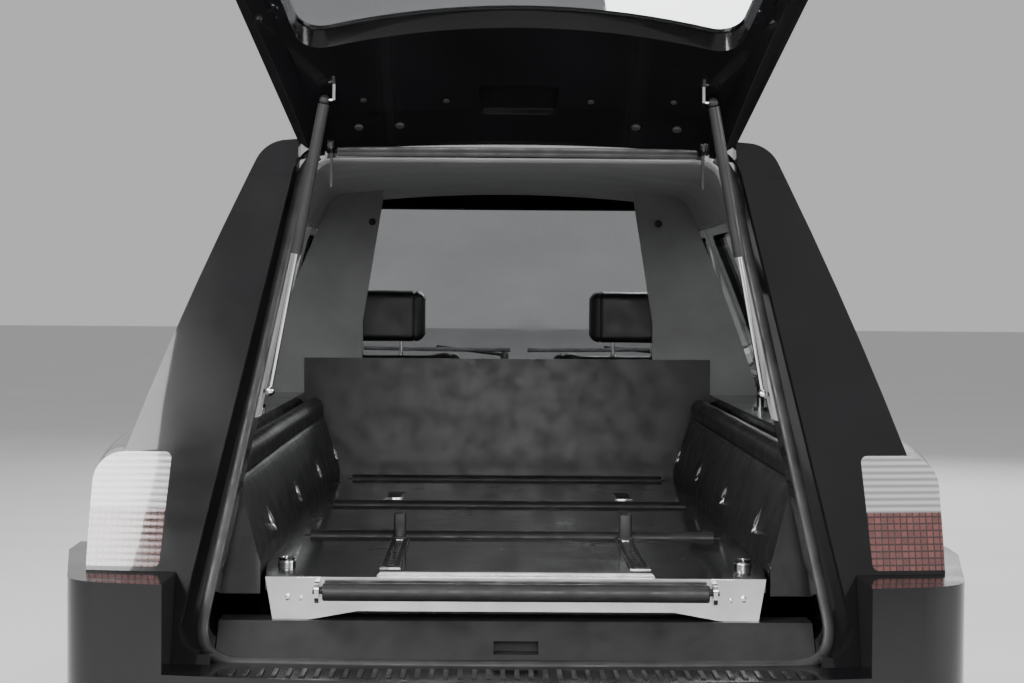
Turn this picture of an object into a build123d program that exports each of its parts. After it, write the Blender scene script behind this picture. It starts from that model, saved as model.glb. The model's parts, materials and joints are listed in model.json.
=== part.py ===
from build123d import *
import os
from math import cos, hypot, radians, sin

os.makedirs("parts", exist_ok=True)

# Frame: +Y is forward, +X is the right-hand side, +Z is up, the ground is at zero. Millimetres.

# Overall sizes
WHEELBASE = 3450
REAR_AXLE_Y = -1452
FRONT_OVERHANG = 900
REAR_OVERHANG = 1150
HALF_WIDTH = 898
SILL_Z = 240
ROOF_Z = 1640
BELT_Z = 960

FRONT_AXLE_Y = REAR_AXLE_Y + WHEELBASE
NOSE_Y = FRONT_AXLE_Y + FRONT_OVERHANG
BUMPER_REAR_Y = REAR_AXLE_Y - REAR_OVERHANG

# Walls and gaps
SIDE_WALL = 50
CABIN_WALL = 34
ROOF_WALL = 34
NOSE_WALL = 60
INNER_DROP = 60
PANEL_GAP = 7
SEAT_GAP = 0.3
GLASS = 6
GLASS_INSET = 9

# Wheels
WHEEL_DIAMETER = 660
TYRE_WIDTH = 225
RIM_DIAMETER = 456
TRACK = 1550
ARCH_CLEARANCE = 62
FLARE = 30
FLARE_HEIGHT = 34
FLARE_CHAMFER = 24

WHEEL_R = WHEEL_DIAMETER / 2
ARCH_R = WHEEL_R + ARCH_CLEARANCE
WHEEL_X = TRACK / 2

# Places along the car
COWL_Y = FRONT_AXLE_Y - 575
DOOR_FRONT_Y = FRONT_AXLE_Y - 680
DOOR_LENGTH = 1060
DOOR_REAR_Y = DOOR_FRONT_Y - DOOR_LENGTH
DECK_LENGTH = 2346
DECK_REAR_Y = REAR_AXLE_Y - 836
DECK_FRONT_Y = DECK_REAR_Y + DECK_LENGTH
ROOF_SEAM_Z = ROOF_Z - 140

# Windscreen: a plane raked back from the cowl to the roof header
SCREEN_BASE = (COWL_Y + 10, 985)
SCREEN_TOP = (COWL_Y - 800, 1560)
SCREEN_BOW = 90
SCREEN_WALL = 40
PILLAR_SETBACK = 150

# Tail plane: it rises forward from the sill to the hinge edge, and bows back in the middle
TAIL_TOP = (REAR_AXLE_Y - 611, ROOF_Z - 88)
TAIL_RAKE = 67.7
TAIL_BOW = 95
TAIL_WALL = 120

# Tailgate
TAILGATE_LENGTH = 1020
TAILGATE_TOP_HALF = 430
TAILGATE_FLARE = 0.19
TAILGATE_DEPTH = 30
TAILGATE_OPEN = 100.7
HINGE_Y = REAR_AXLE_Y - 575
HINGE_Z = ROOF_Z - 78
HINGE_X = 371

# Load space
OPENING_TOP_HALF = 402
OPENING_SLOPE = 0.18
OPENING_BOTTOM_Z = 593
DECK_Z = 728
DECK_HALF = 490
DECK_END_HALF = 474
DECK_THICK = 25
DECK_BOARD = 25
FLOOR_Z = 430
FLOOR_THICK = 25
CAB_FLOOR_Z = 270

# Nose and bumpers
BONNET_FRONT_Y = NOSE_Y - 130
FRONT_BUMPER_TOP = 560
REAR_BUMPER_TOP = 745
REAR_BUMPER_FRONT_Y = REAR_AXLE_Y - ARCH_R - 20
BUMPER_STEP_Z = 584
BUMPER_STEP_HALF = TAILGATE_TOP_HALF + TAILGATE_FLARE * TAILGATE_LENGTH + PANEL_GAP + 3
BUMPER_SHELF = 40
SILL_HALF = 560
SILL_SLOPE = 58
LATCH_HALF = 42
GRILLE_BARS = 17
GRILLE_TOP_Z = 742

# Bonnet and scuttle: half widths of the bonnet at its rear and front edge
BONNET_HALF = (690, 560)
BONNET_REAR_Y = COWL_Y + 60
SCUTTLE_HALF = 735
BULKHEAD = 25
BULKHEAD_SETBACK = 105
SCUTTLE_FRONT_Y = BONNET_REAR_Y - 45
BONNET_HINGE = (BONNET_REAR_Y - 3, BELT_Z - 5)
BONNET_HINGE_X = 560
BONNET_LUG = 16
BONNET_NOTCH = 24
BONNET_SIDE_STEP = 6
BONNET_PIN_R = 5

# Windscreen outline from behind: half width and height of its lower and upper corners
WINDSCREEN_OUTLINE = [(728, SCREEN_BASE[1] + 22), (520, SCREEN_TOP[1] - 22)]

# Door hinges
DOOR_HINGE_X = HALF_WIDTH - 14
DOOR_HINGE_Y = DOOR_FRONT_Y - 36
DOOR_HINGE_Z = (560, 740)
DOOR_PIN_R = 3
DOOR_EYE_R = 6
DOOR_EYE_HALF = 15
HINGE_EAR = 12
POST_X = (772, DOOR_HINGE_X - 74)

# Tail lamps
LAMP_Z = (753, 962)
LAMP_INNER_X = 655
LAMP_WRAP = 690

# Deck furniture
TUB_X = 610
ROLLER_Y = [DECK_REAR_Y + distance for distance in (712, 1418, 2190)]
ROLLER_HALF = 458
ROLLER_R = 15
TRACK_X = 245
TRACK_Y = (DECK_REAR_Y + 133, DECK_REAR_Y + 682)
TRACK_HALF = 20
TRACK_SINK = 4
TRACK_PROUD = 2
PEG_HOLES = 12
PEG_PITCH = 45
PEG_HOLE_R = 6
PEG_DEPTH = 5
STOP_HEIGHT = 57
KNOB_X = 450
KNOB_Y = DECK_REAR_Y + 180
SILL_PLATE_END = 80
SILL_PLATE_MID = 63
SILL_PLATE_THICK = 6
ROLLER_BRACKET_X = 382
SILL_ROLLER_R = 17
SILL_SHAFT_R = 4
SILL_ROLLER_Y = DECK_REAR_Y - SILL_PLATE_THICK - SILL_ROLLER_R - 8
SILL_ROLLER_Z = DECK_Z - 24

# Side panels, ledges and rails
TRIM_TOP_Z = 955
TRIM_WIDTH = 104
TRIM_REAR_Y = DECK_REAR_Y + 60
LEDGE_TOP_Z = BELT_Z + 12
LEDGE_THICK = 14
POST_Y = [DECK_REAR_Y + distance for distance in (286, 666, 1046, 1426)]
POST_X_LOAD = DECK_HALF + 146
POST_TOP_Z = LEDGE_TOP_Z + 118
POST_R = 9
LINING_THICK = 16
PARTITION_Z = 1072

# Cab
SEAT_X = 380
SEAT_WIDTH = 510
SEAT_BASE_Z = 395
SEAT_BACK_Y = DECK_FRONT_Y + 150
DASH_HALF = 742
TUNNEL_Z = 400
TUNNEL_HALF = 100
DRIVER_X = SEAT_X
STEERING_WHEEL_R = 190
STEERING_TILT = 24

# Running gear
SPOKES = 10
SPINDLE_R = 16
KINGPIN_X = WHEEL_X - 62
DISC_R = 118
BALL_Z = (WHEEL_R - 125, WHEEL_R + 125)
FRAME_X = 430
SPRING_X = 520
PROP_FRONT_Y = COWL_Y - 420
GEARBOX_Z = CAB_FLOOR_Z - 62
LINER_INNER_X = 432

# Tailgate window and trim, as distances s down from the hinge edge
WINDOW_S = (322, 790)
WINDOW_ARC = 55
WINDOW_HALF = 407
WINDOW_SLOPE = 0.19
TRIM_TOP_S = 130
TRIM_DEPTH = 12

# Tailgate hinges
ARM_THICK = 5
ARM_X = HINGE_X + 8
ARM_LENGTH = 108
HINGE_PIN_R = 4
HINGE_CLEARANCE = 1
HINGE_SEAT_Y = HINGE_Y + 14
BRACKET_X = (ARM_X - ARM_THICK * 1.5 - HINGE_CLEARANCE, ARM_X - ARM_THICK / 2 - HINGE_CLEARANCE)

# Gas struts
STRUT_TOP_S = 185
STRUT_TOP_DEPTH = 62
STRUT_TOP_X = 372
STRUT_FOOT = (479, REAR_AXLE_Y - 722, 1075)
STRUT_TUBE_R = 11
STRUT_ROD_R = 4.5
BALL_R = 6
SOCKET_R = 10
STUD_R = 3.5
STRUT_TUBE_LENGTH = 300
STRUT_BORE_START = 16
ROD_OVERLAP = 11

# Columns: y, half width at the sill, waist and shoulder, height of the shoulder and of the crown
LOWER_STATIONS = [
    (BUMPER_REAR_Y - 225, 745, 748, 722, BELT_Z - 10, BELT_Z + 15),
    (REAR_AXLE_Y - 1000, 785, HALF_WIDTH - 106, 774, BELT_Z - 5, BELT_Z + 25),
    (REAR_AXLE_Y - 100, 872, HALF_WIDTH - 2, 876, BELT_Z, BELT_Z + 40),
    (DOOR_REAR_Y - 300, 878, HALF_WIDTH, 880, BELT_Z - 10, BELT_Z + 40),
    (COWL_Y, 878, HALF_WIDTH - 2, 876, BELT_Z - 45, BELT_Z + 30),
    (FRONT_AXLE_Y + 375, 830, HALF_WIDTH - 30, 815, BELT_Z - 120, BELT_Z - 55),
    (NOSE_Y + 125, 760, HALF_WIDTH - 98, 700, BELT_Z - 220, BELT_Z - 185),
]
WAIST_Z = 640

# Columns: y, half width at the base and at the roof rail, height of the rail and of the crown
UPPER_STATIONS = [
    (BUMPER_REAR_Y - 225, 735, 440, ROOF_Z - 110, ROOF_Z - 88),
    (REAR_AXLE_Y - 575, 790, 505, ROOF_Z - 72, ROOF_Z - 50),
    (REAR_AXLE_Y + 825, 845, 585, ROOF_Z - 82, ROOF_Z),
    (DOOR_REAR_Y + 270, 850, 590, ROOF_Z - 95, ROOF_Z - 15),
    (COWL_Y + 250, 800, 520, ROOF_Z - 165, ROOF_Z - 80),
]
UPPER_BASE_Z = 880


def save(name, shape):
    export_step(shape, "parts/" + name + ".step")


def group(*shapes):
    """Several solids that share a node."""
    solids = []
    for shape in shapes:
        solids.extend(shape.solids())
    return Compound(children=solids)


def mirrored(shape):
    return mirror(shape, about=Plane.YZ)


def block(x, y, z):
    """A box given by its ranges along the three axes."""
    centre = ((x[0] + x[1]) / 2, (y[0] + y[1]) / 2, (z[0] + z[1]) / 2)
    return Pos(*centre) * Box(abs(x[1] - x[0]), abs(y[1] - y[0]), abs(z[1] - z[0]))


def rod(start, end, radius):
    """A round bar between two points."""
    a, b = Vector(*start), Vector(*end)
    plane = Plane(origin=a, z_dir=b - a)
    return extrude(plane * Circle(radius), (b - a).length)


def side_prism(points, x, radius=0):
    """A prism along X, with its outline given in side view as (y, z)."""
    line = FilletPolyline(*points, radius=radius, close=True) if radius else Polyline(*points, close=True)
    face = Plane.YZ.offset(x[0]) * make_face(line)
    return extrude(face, x[1] - x[0], dir=(1, 0, 0))


def plan_prism(points, z, radius=0):
    """A prism along Z, with its outline given from above as (x, y)."""
    line = FilletPolyline(*points, radius=radius, close=True) if radius else Polyline(*points, close=True)
    return extrude(Pos(0, 0, z[0]) * make_face(line), z[1] - z[0], dir=(0, 0, 1))


def rear_prism(points, y, radius=0):
    """A prism along Y, with its outline given from behind as (x, z)."""
    line = FilletPolyline(*points, radius=radius, close=True) if radius else Polyline(*points, close=True)
    face = Plane(origin=(0, y[0], 0), x_dir=(1, 0, 0), z_dir=(0, -1, 0)) * make_face(line)
    return extrude(face, y[1] - y[0], dir=(0, 1, 0))


def mirrored_outline(points):
    """Closes a right-hand half outline, given from the bottom up, with its mirror image."""
    return points + [(-x, v) for x, v in reversed(points)]


# Body envelope

def cross_plane(y):
    return Plane(origin=(0, y, 0), x_dir=(1, 0, 0), z_dir=(0, -1, 0))


def lower_section(station, inset, drop):
    y, sill, waist, shoulder, z_shoulder, z_crown = station
    a, b = (inset - sill, SILL_Z - drop), (sill - inset, SILL_Z - drop)
    c, d = (shoulder - inset, z_shoulder - inset), (inset - shoulder, z_shoulder - inset)
    face = make_face([
        Line(a, b),
        ThreePointArc(b, (waist - inset, WAIST_Z), c),
        ThreePointArc(c, (0, z_crown - inset), d),
        ThreePointArc(d, (inset - waist, WAIST_Z), a),
    ])
    return cross_plane(y) * fillet(face.vertices().sort_by(Axis.Y)[-2:], 60)


def upper_section(station, inset, roof_inset):
    y, base, rail, z_rail, z_crown = station
    a, b = (inset - base, UPPER_BASE_Z), (base - inset, UPPER_BASE_Z)
    c, d = (rail - inset, z_rail), (inset - rail, z_rail)
    bow = ((base + rail) / 2 - inset + 12, (UPPER_BASE_Z + z_rail) / 2)
    face = make_face([
        Line(a, b),
        ThreePointArc(b, bow, c),
        ThreePointArc(c, (0, z_crown - roof_inset), d),
        ThreePointArc(d, (-bow[0], bow[1]), a),
    ])
    return cross_plane(y) * fillet(face.vertices().sort_by(Axis.Y)[-2:], 70)


def lower_body(inset=0, drop=0):
    return loft([lower_section(station, inset, drop) for station in LOWER_STATIONS])


def upper_body(inset=0, roof_inset=0):
    return loft([upper_section(station, inset, roof_inset) for station in UPPER_STATIONS])


def raked_space(foot, top, bow, shift=0, forward=True):
    """All that lies ahead of a raked surface, or behind it. The surface is an arc seen from above."""
    run = Vector(0, top[0] - foot[0], top[1] - foot[1])
    scale = (2400 - foot[1]) / run.Z
    low = foot[1] / run.Z
    y = foot[0] - run.Y * low + shift
    reach = 7000 if forward else -7000
    face = make_face([
        ThreePointArc((-1000, y + bow), (0, y), (1000, y + bow)),
        Polyline((1000, y + bow), (1000, y + reach), (-1000, y + reach), (-1000, y + bow)),
    ])
    return extrude(face, run.length * (scale + low), dir=run)


def tail_point(s, depth=0, x=0):
    """Side-view (y, z) of a place on the tail surface, s down from the hinge edge and depth inside it."""
    a = radians(TAIL_RAKE)
    radius = (1000 ** 2 + TAIL_BOW ** 2) / (2 * TAIL_BOW)
    bow = radius - (radius ** 2 - x ** 2) ** 0.5
    return (TAIL_TOP[0] + bow - s * cos(a) + depth * sin(a), TAIL_TOP[1] - s * sin(a) - depth * cos(a))


def ahead_of_tail(depth=0):
    foot, top = tail_point(1200), tail_point(0)
    return raked_space(foot, top, TAIL_BOW, depth / sin(radians(TAIL_RAKE)))


def behind_screen(depth=0):
    """All that lies behind the windscreen surface, with depth measured level."""
    foot, top = (SCREEN_BASE[0] - depth, SCREEN_BASE[1]), (SCREEN_TOP[0] - depth, SCREEN_TOP[1])
    return raked_space(foot, top, -SCREEN_BOW, 0, forward=False)


# Openings and panel outlines

def tail_outline(top_half, slope, s_range, grow=0):
    """Half widths and heights of a figure on the tail plane, seen from behind as (x, z)."""
    points = []
    for s in (s_range[1] + grow, s_range[0] - grow):
        points.append((top_half + slope * s + grow, tail_point(s)[1]))
    return mirrored_outline(points)


def pillar_line(setback):
    """The rake of the windscreen pillar in side view: its slope, and the y where it meets height zero."""
    rake = (SCREEN_TOP[1] - SCREEN_BASE[1]) / (SCREEN_BASE[0] - SCREEN_TOP[0])
    return rake, SCREEN_BASE[0] - setback + SCREEN_BASE[1] / rake


def door_outline(grow=0):
    """The door from the side: sill edge, rear edge, roof edge, and the rake along the windscreen pillar."""
    front, rear = DOOR_FRONT_Y + grow, DOOR_REAR_Y - grow
    top = ROOF_SEAM_Z - PANEL_GAP + grow
    rake, zero_y = pillar_line(PILLAR_SETBACK - 1.7 * grow)
    return [(rear, 335 - grow), (rear, top), (zero_y - top / rake, top), (front, (zero_y - front) * rake),
            (front, 335 - grow)]


def door_window_outline(grow=0):
    low, top = BELT_Z + 50 - grow, ROOF_SEAM_Z - 58 + grow
    rake, zero_y = pillar_line(PILLAR_SETBACK + 75 - 1.7 * grow)
    rear = DOOR_REAR_Y + 62 - grow
    return [(rear, low), (rear, top), (zero_y - top / rake, top), (zero_y - low / rake, low)]


def quarter_window_outline(grow=0):
    """The long side window, whose rear edge follows the tail."""
    low, top = BELT_Z + 50 - grow, ROOF_SEAM_Z - 58 + grow
    lean = (TAIL_TOP[0] - tail_point(1000)[0]) / (TAIL_TOP[1] - tail_point(1000)[1])
    rear = REAR_AXLE_Y - 560 - grow
    return [(rear, low), (rear + lean * (top - low), top), (DOOR_REAR_Y - 110 + grow, top),
            (DOOR_REAR_Y - 110 + grow, low)]


def arch_cylinder(axle_y, radius, x):
    face = Plane.YZ.offset(x[0]) * (Pos(axle_y, WHEEL_R) * Circle(radius))
    return extrude(face, x[1] - x[0], dir=(1, 0, 0))


def arch_flare(axle_y):
    """The raised lip round a wheel arch."""
    x = (HALF_WIDTH - SIDE_WALL + 2, HALF_WIDTH + FLARE)
    ring = arch_cylinder(axle_y, ARCH_R + FLARE_HEIGHT, x) - arch_cylinder(axle_y, ARCH_R, x)
    outer_circles = ring.edges().filter_by(GeomType.CIRCLE).group_by(Axis.X)[-1]
    ring = chamfer(outer_circles.sort_by(SortBy.RADIUS)[-1:], FLARE_CHAMFER)
    return (ring & block((0, 1000), (axle_y - 900, axle_y + 900), (SILL_Z, 1000))) - INNER_LOWER




def nose_space(shift=0):
    """All that lies behind the rounded nose."""
    front = NOSE_Y - 60 + shift
    face = make_face([
        ThreePointArc((-800, front - 170), (0, front), (800, front - 170)),
        Polyline((800, front - 170), (1000, front - 500), (1000, -4000), (-1000, -4000), (-1000, front - 500),
                 (-800, front - 170)),
    ])
    face = fillet(face.vertices().sort_by(Axis.Y)[-2:], 150)
    return extrude(face, 1200, dir=(0, 0, 1))


def make_envelope(side, cabin, roof, drop, tail, screen, nose):
    """The closed outer form, or with walls taken off, the hollow inside it."""
    lower = lower_body(side, drop) & ahead_of_tail(tail) & nose_space(-nose)
    cab = upper_body(cabin, roof) & ahead_of_tail(tail) & behind_screen(screen)
    return lower, cab


OUTER_LOWER, OUTER_CAB = make_envelope(0, 0, 0, 0, 0, 0, 0)
INNER_LOWER, INNER_CAB = make_envelope(SIDE_WALL, CABIN_WALL, ROOF_WALL, INNER_DROP, TAIL_WALL,
                                        SCREEN_WALL, NOSE_WALL)
OUTER = OUTER_LOWER + OUTER_CAB
INNER = INNER_LOWER + INNER_CAB
SHELL = OUTER - INNER


# Body panels


def windscreen_prism(shrink=0):
    (low_x, low_z), (top_x, top_z) = WINDSCREEN_OUTLINE
    half = [(low_x - shrink, low_z + shrink), (top_x - shrink, top_z - shrink)]
    return rear_prism(mirrored_outline(half), (SCREEN_TOP[0] - 120, COWL_Y + 60), 60)


def bonnet_prism(grow=0):
    rear, front = BONNET_REAR_Y - grow, BONNET_FRONT_Y + grow
    half = [(BONNET_HALF[0] + grow, rear), (BONNET_HALF[1] + grow, front)]
    return plan_prism(mirrored_outline(half), (BELT_Z - 260, BELT_Z + 100))


def tailgate_space(grow=0, outward=60):
    """The prism of the tailgate's outline between two depths of the tail surface."""
    outline = tail_outline(TAILGATE_TOP_HALF, TAILGATE_FLARE, (0, TAILGATE_LENGTH), grow)
    prism = rear_prism(outline, (REAR_AXLE_Y - 1300, REAR_AXLE_Y - 300), 45)
    return prism & ahead_of_tail(-outward)


def opening_prism():
    """The clear load opening, through the tail wall."""
    top = tail_point(14)[1]
    half = [(OPENING_TOP_HALF + OPENING_SLOPE * (1600 - z), z) for z in (OPENING_BOTTOM_Z, top)]
    return rear_prism(mirrored_outline(half), (REAR_AXLE_Y - 1400, REAR_AXLE_Y - 450), 62)


def roof_edge_cut():
    """The roof stops short of the tailgate's hinges, with a pocket for each hinge strap."""
    half = TAILGATE_TOP_HALF + PANEL_GAP
    cut = block((-half, half), (REAR_AXLE_Y - 900, HINGE_SEAT_Y), (HINGE_Z - 60, ROOF_Z + 100))
    x = (BRACKET_X[1], ARM_X + ARM_THICK / 2 + 5)
    pocket = block(x, (HINGE_SEAT_Y - 1, HINGE_SEAT_Y + 11), (HINGE_Z - 60, HINGE_Z + 8))
    return cut + pocket + mirrored(pocket)


def cut_tail(shape):
    rebate = tailgate_space(PANEL_GAP) - ahead_of_tail(TAILGATE_DEPTH + PANEL_GAP)
    return shape - rebate - opening_prism() - roof_edge_cut()


def make_roof():
    top = block((-1000, 1000), (-3500, 3500), (ROOF_SEAM_Z + SEAT_GAP / 2, 2000))
    return cut_tail((SHELL & top) - windscreen_prism())


def side_cuts():
    """Everything that is cut from the right-hand side of the body."""
    x = (400, 1100)
    tail = (-3500, REAR_BUMPER_FRONT_Y + PANEL_GAP)
    return [
        side_prism(door_outline(PANEL_GAP), x, 28),
        side_prism(quarter_window_outline(), x, 40),
        arch_cylinder(REAR_AXLE_Y, ARCH_R, (300, 1100)),
        block((BUMPER_STEP_HALF - SEAT_GAP, 1100), tail, (0, REAR_BUMPER_TOP + SEAT_GAP)),
        block((0, SILL_HALF + 1), tail, (0, REAR_BUMPER_TOP + SEAT_GAP)),
        block((0, 1100), tail, (0, BUMPER_STEP_Z + SEAT_GAP)),
    ]


def make_side():
    """The right-hand body side: sill, pillars, quarter panel and tail pillar."""
    y_front = DOOR_FRONT_Y + PANEL_GAP
    seam = ROOF_SEAM_Z - SEAT_GAP / 2
    region = block((0, 1200), (-3500, y_front - SEAT_GAP), (SILL_Z - 10, seam))
    pillar = block((0, 1200), (y_front - 1, COWL_Y + 60), (BELT_Z - 30, seam)) & OUTER_CAB
    scuttle = block((0, SCUTTLE_HALF), (SCREEN_TOP[0], 2000), (SILL_Z, BELT_Z + 60))
    side = (SHELL & region) + (SHELL & pillar)
    side = side - windscreen_prism() - scuttle
    bumper = block((0, 1200), (-3500, REAR_BUMPER_FRONT_Y + PANEL_GAP), (0, REAR_BUMPER_TOP))
    flare = arch_flare(REAR_AXLE_Y) - bumper
    side = cut_tail(side + flare)
    for cut in side_cuts():
        side -= cut
    return biggest(side + hinge_post() - make_tail_lamp())


def biggest(shape):
    return shape.solids().sort_by(SortBy.VOLUME)[-1]


def make_fender():
    region = block((0, 1200), (DOOR_FRONT_Y + PANEL_GAP, NOSE_Y), (SILL_Z - 10, BELT_Z + 60))
    pillar = block((0, 1200), (DOOR_FRONT_Y, COWL_Y + 60), (BELT_Z - 30, ROOF_SEAM_Z)) & OUTER_CAB
    fender = (SHELL & region) - pillar + arch_flare(FRONT_AXLE_Y)
    fender -= bonnet_prism(PANEL_GAP)
    fender -= arch_cylinder(FRONT_AXLE_Y, ARCH_R, (300, 1100))
    fender -= block((0, SCUTTLE_HALF), (DOOR_FRONT_Y, BONNET_REAR_Y), (SILL_Z, BELT_Z + 60))
    fender -= block((-10, 1200), (FRONT_AXLE_Y + ARCH_R + 12, NOSE_Y), (0, FRONT_BUMPER_TOP + SEAT_GAP))
    return fender - front_lamp_space() - grille_space()


def front_lamp_space():
    outline = [(470, FRONT_BUMPER_TOP + 45), (900, FRONT_BUMPER_TOP + 70), (900, 745), (520, 735)]
    return rear_prism(outline, (NOSE_Y - 330, NOSE_Y), 20)


def grille_space():
    outline = mirrored_outline([(430, FRONT_BUMPER_TOP + 30), (445, GRILLE_TOP_Z)])
    return rear_prism(outline, (NOSE_Y - 330, NOSE_Y), 25)


def hinge_block(side, half, y, z):
    """A block that straddles a bonnet hinge, half wide each way."""
    x = side * BONNET_HINGE_X
    return block((x - half, x + half), y, z)


def make_bonnet():
    """The bonnet, with two lugs for the hinge pins, and the lower side edges set in at the rear."""
    region = block((-1000, 1000), (COWL_Y, NOSE_Y), (BELT_Z - 200, BELT_Z + 100))
    panel = biggest(SHELL & bonnet_prism() & region)
    y, z = BONNET_HINGE
    for side in (-1, 1):
        panel -= hinge_block(side, BONNET_NOTCH, (y - 30, y + 18), (z - 80, z + 10))
        panel += hinge_block(side, BONNET_LUG / 2, (y - 9, y + 30), (z - 9, z + 8))
        panel -= Pos(side * BONNET_HINGE_X, y, z) * Rot(0, 90, 0) * Cylinder(BONNET_PIN_R + SEAT_GAP, 60)
    edge = BONNET_HALF[0] - BONNET_SIDE_STEP
    step = block((edge, edge + 60), (y - 30, y + 95), (z - 120, z - 22))
    return panel - step - mirrored(step)


def make_bonnet_hinge(side):
    """Two ears that rise from the scuttle's upstand, with the hinge pin between them."""
    y, z = BONNET_HINGE
    hinge = Pos(side * BONNET_HINGE_X, y, z) * Rot(0, 90, 0) * Cylinder(BONNET_PIN_R, 2 * BONNET_NOTCH - 14)
    ears = hinge_block(side, BONNET_NOTCH - 7, (y - 8, y + 8), (z - 40, z + 8))
    ears -= hinge_block(side, BONNET_LUG / 2 + 1, (y - 20, y + 20), (z - 22, z + 20))
    foot = hinge_block(side, BONNET_NOTCH - 7, (SCUTTLE_FRONT_Y + SEAT_GAP, y + 8), (z - 40, z - 32))
    return hinge + ears + foot


# Glass

def skin_between(body, outer, inner):
    return body(outer, outer) - body(inner, inner)


def make_windscreen():
    slab = behind_screen(GLASS_INSET) - behind_screen(GLASS_INSET + GLASS * 1.7)
    return biggest(slab & windscreen_prism(SEAT_GAP) & upper_body(1, 1))


def side_glass(outline, radius):
    skin = skin_between(upper_body, GLASS_INSET, GLASS_INSET + GLASS)
    return biggest(skin & side_prism(outline, (400, 1100), radius))


# Doors


def rear_edge_bevel():
    """The door's rear inner edge is cut back, so that it clears the body as it swings out."""
    low = plan_prism([(HALF_WIDTH - 22, DOOR_REAR_Y - 1), (HALF_WIDTH - 150, DOOR_REAR_Y - 1),
                      (HALF_WIDTH - 150, DOOR_REAR_Y + 22)], (SILL_Z, BELT_Z + 20))
    top_x = UPPER_STATIONS[3][2]
    face = plan_prism([(0, 0), (-130, 0), (-130, 42)], (0, 1)).faces().sort_by(Axis.Z)[0]
    rise = ROOF_SEAM_Z - UPPER_BASE_Z
    foot = UPPER_STATIONS[3][1] + 4
    high = extrude(Pos(foot, DOOR_REAR_Y - 1, UPPER_BASE_Z) * face, hypot(rise, foot - top_x),
                   dir=(top_x - foot, 0, rise))
    return low, high


def make_door():
    door = SHELL & side_prism(door_outline(), (400, 1100), 24)
    door -= side_prism(door_window_outline(), (400, 1100), 30)
    for bevel in rear_edge_bevel():
        door -= bevel
    reach = DOOR_EYE_HALF + HINGE_EAR + 6
    for z in DOOR_HINGE_Z:
        pocket_x = (DOOR_HINGE_X - 80, DOOR_HINGE_X + DOOR_EYE_R + 2)
        door -= block(pocket_x, (DOOR_HINGE_Y - 14, DOOR_FRONT_Y + 5), (z - reach, z + reach))
        eye = Pos(DOOR_HINGE_X, DOOR_HINGE_Y, z) * Cylinder(DOOR_EYE_R, 2 * DOOR_EYE_HALF)
        web = block((DOOR_HINGE_X - 5, DOOR_HINGE_X + 5), (DOOR_HINGE_Y - 16, DOOR_HINGE_Y),
                    (z - DOOR_EYE_HALF, z + DOOR_EYE_HALF))
        door += eye + web
        door -= Pos(DOOR_HINGE_X, DOOR_HINGE_Y, z) * Cylinder(DOOR_PIN_R + SEAT_GAP, 4 * DOOR_EYE_HALF)
    return biggest(door)


def make_door_hinge():
    """The fixed half of a door's hinges: for each, two ears on a plate, with the pin between them."""
    leaves = []
    ear_top = DOOR_EYE_HALF + 1 + HINGE_EAR
    y = (DOOR_HINGE_Y - 6, DOOR_HINGE_Y + 6)
    for z in DOOR_HINGE_Z:
        leaf = Pos(DOOR_HINGE_X, DOOR_HINGE_Y, z) * Cylinder(DOOR_PIN_R, 2 * ear_top)
        for ear in ((z - ear_top, z - ear_top + HINGE_EAR), (z + ear_top - HINGE_EAR, z + ear_top)):
            leaf += block((POST_X[1], DOOR_HINGE_X), y, ear)
            leaf += Pos(DOOR_HINGE_X, DOOR_HINGE_Y, (ear[0] + ear[1]) / 2) * Cylinder(6, HINGE_EAR)
        leaf += block((POST_X[1], POST_X[1] + 5), (y[0] - 12, y[1] + 12), (z - ear_top, z + ear_top))
        leaves.append(leaf)
    return leaves


def hinge_post():
    """The front pillar that carries the door hinges, with its foot on the sill."""
    y = (DOOR_HINGE_Y - 40, DOOR_HINGE_Y + 66)
    floor = CAB_FLOOR_Z + FLOOR_THICK + SEAT_GAP
    post = block(POST_X, y, (floor, DOOR_HINGE_Z[1] + 90))
    return post + block((POST_X[0], HALF_WIDTH - SIDE_WALL), (y[0], DOOR_FRONT_Y + 4), (floor, 322))


def make_mirror():
    """The door mirror's housing, on a short stalk that stands on the door skin."""
    y, z = DOOR_FRONT_Y - 90, BELT_Z + 40
    shell = Pos(HALF_WIDTH + 58, y, z + 22) * Rot(0, 0, 12) * Box(165, 62, 112)
    shell = fillet(shell.edges(), 22)
    stalk = block((HALF_WIDTH - 130, HALF_WIDTH + 10), (y - 20, y + 20), (z - 18, z + 12))
    return (shell + stalk) - lower_body(-SEAT_GAP) - upper_body(-SEAT_GAP, -SEAT_GAP)


# Front end

def make_grille():
    """A surround with upright bars, set into the nose."""
    space = biggest((OUTER_LOWER - nose_space(-70)) & grille_space())
    low, high = FRONT_BUMPER_TOP + 48, GRILLE_TOP_Z - 18
    inner = rear_prism(mirrored_outline([(412, low), (425, high)]), (NOSE_Y - 330, NOSE_Y), 18)
    frame = space - inner
    for i in range(GRILLE_BARS):
        x = (i - (GRILLE_BARS - 1) / 2) * 800 / (GRILLE_BARS - 1)
        bar = block((x - 6, x + 6), (NOSE_Y - 330, NOSE_Y), (low - 8, high + 10))
        frame += bar & nose_space(-14) & (OUTER_LOWER - nose_space(-52))
    return frame


def make_headlamps():
    lamp = front_lamp_space() & OUTER_LOWER
    lamp = biggest(lamp - nose_space(-150) - block((-400, 465), (0, NOSE_Y), (0, 2000)))
    return group(lamp, mirrored(lamp))


def front_bumper_plan(grow):
    x, front = HALF_WIDTH + 8 + grow, NOSE_Y + grow
    rear = FRONT_AXLE_Y + ARCH_R + 12 - grow
    face = make_face([
        ThreePointArc((-x + 75, front - 190), (0, front), (x - 75, front - 190)),
        Polyline((x - 75, front - 190), (x, rear), (-x, rear), (-x + 75, front - 190)),
    ])
    return fillet(face.vertices().sort_by(Axis.Y)[-2:], 170 + grow)


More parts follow.
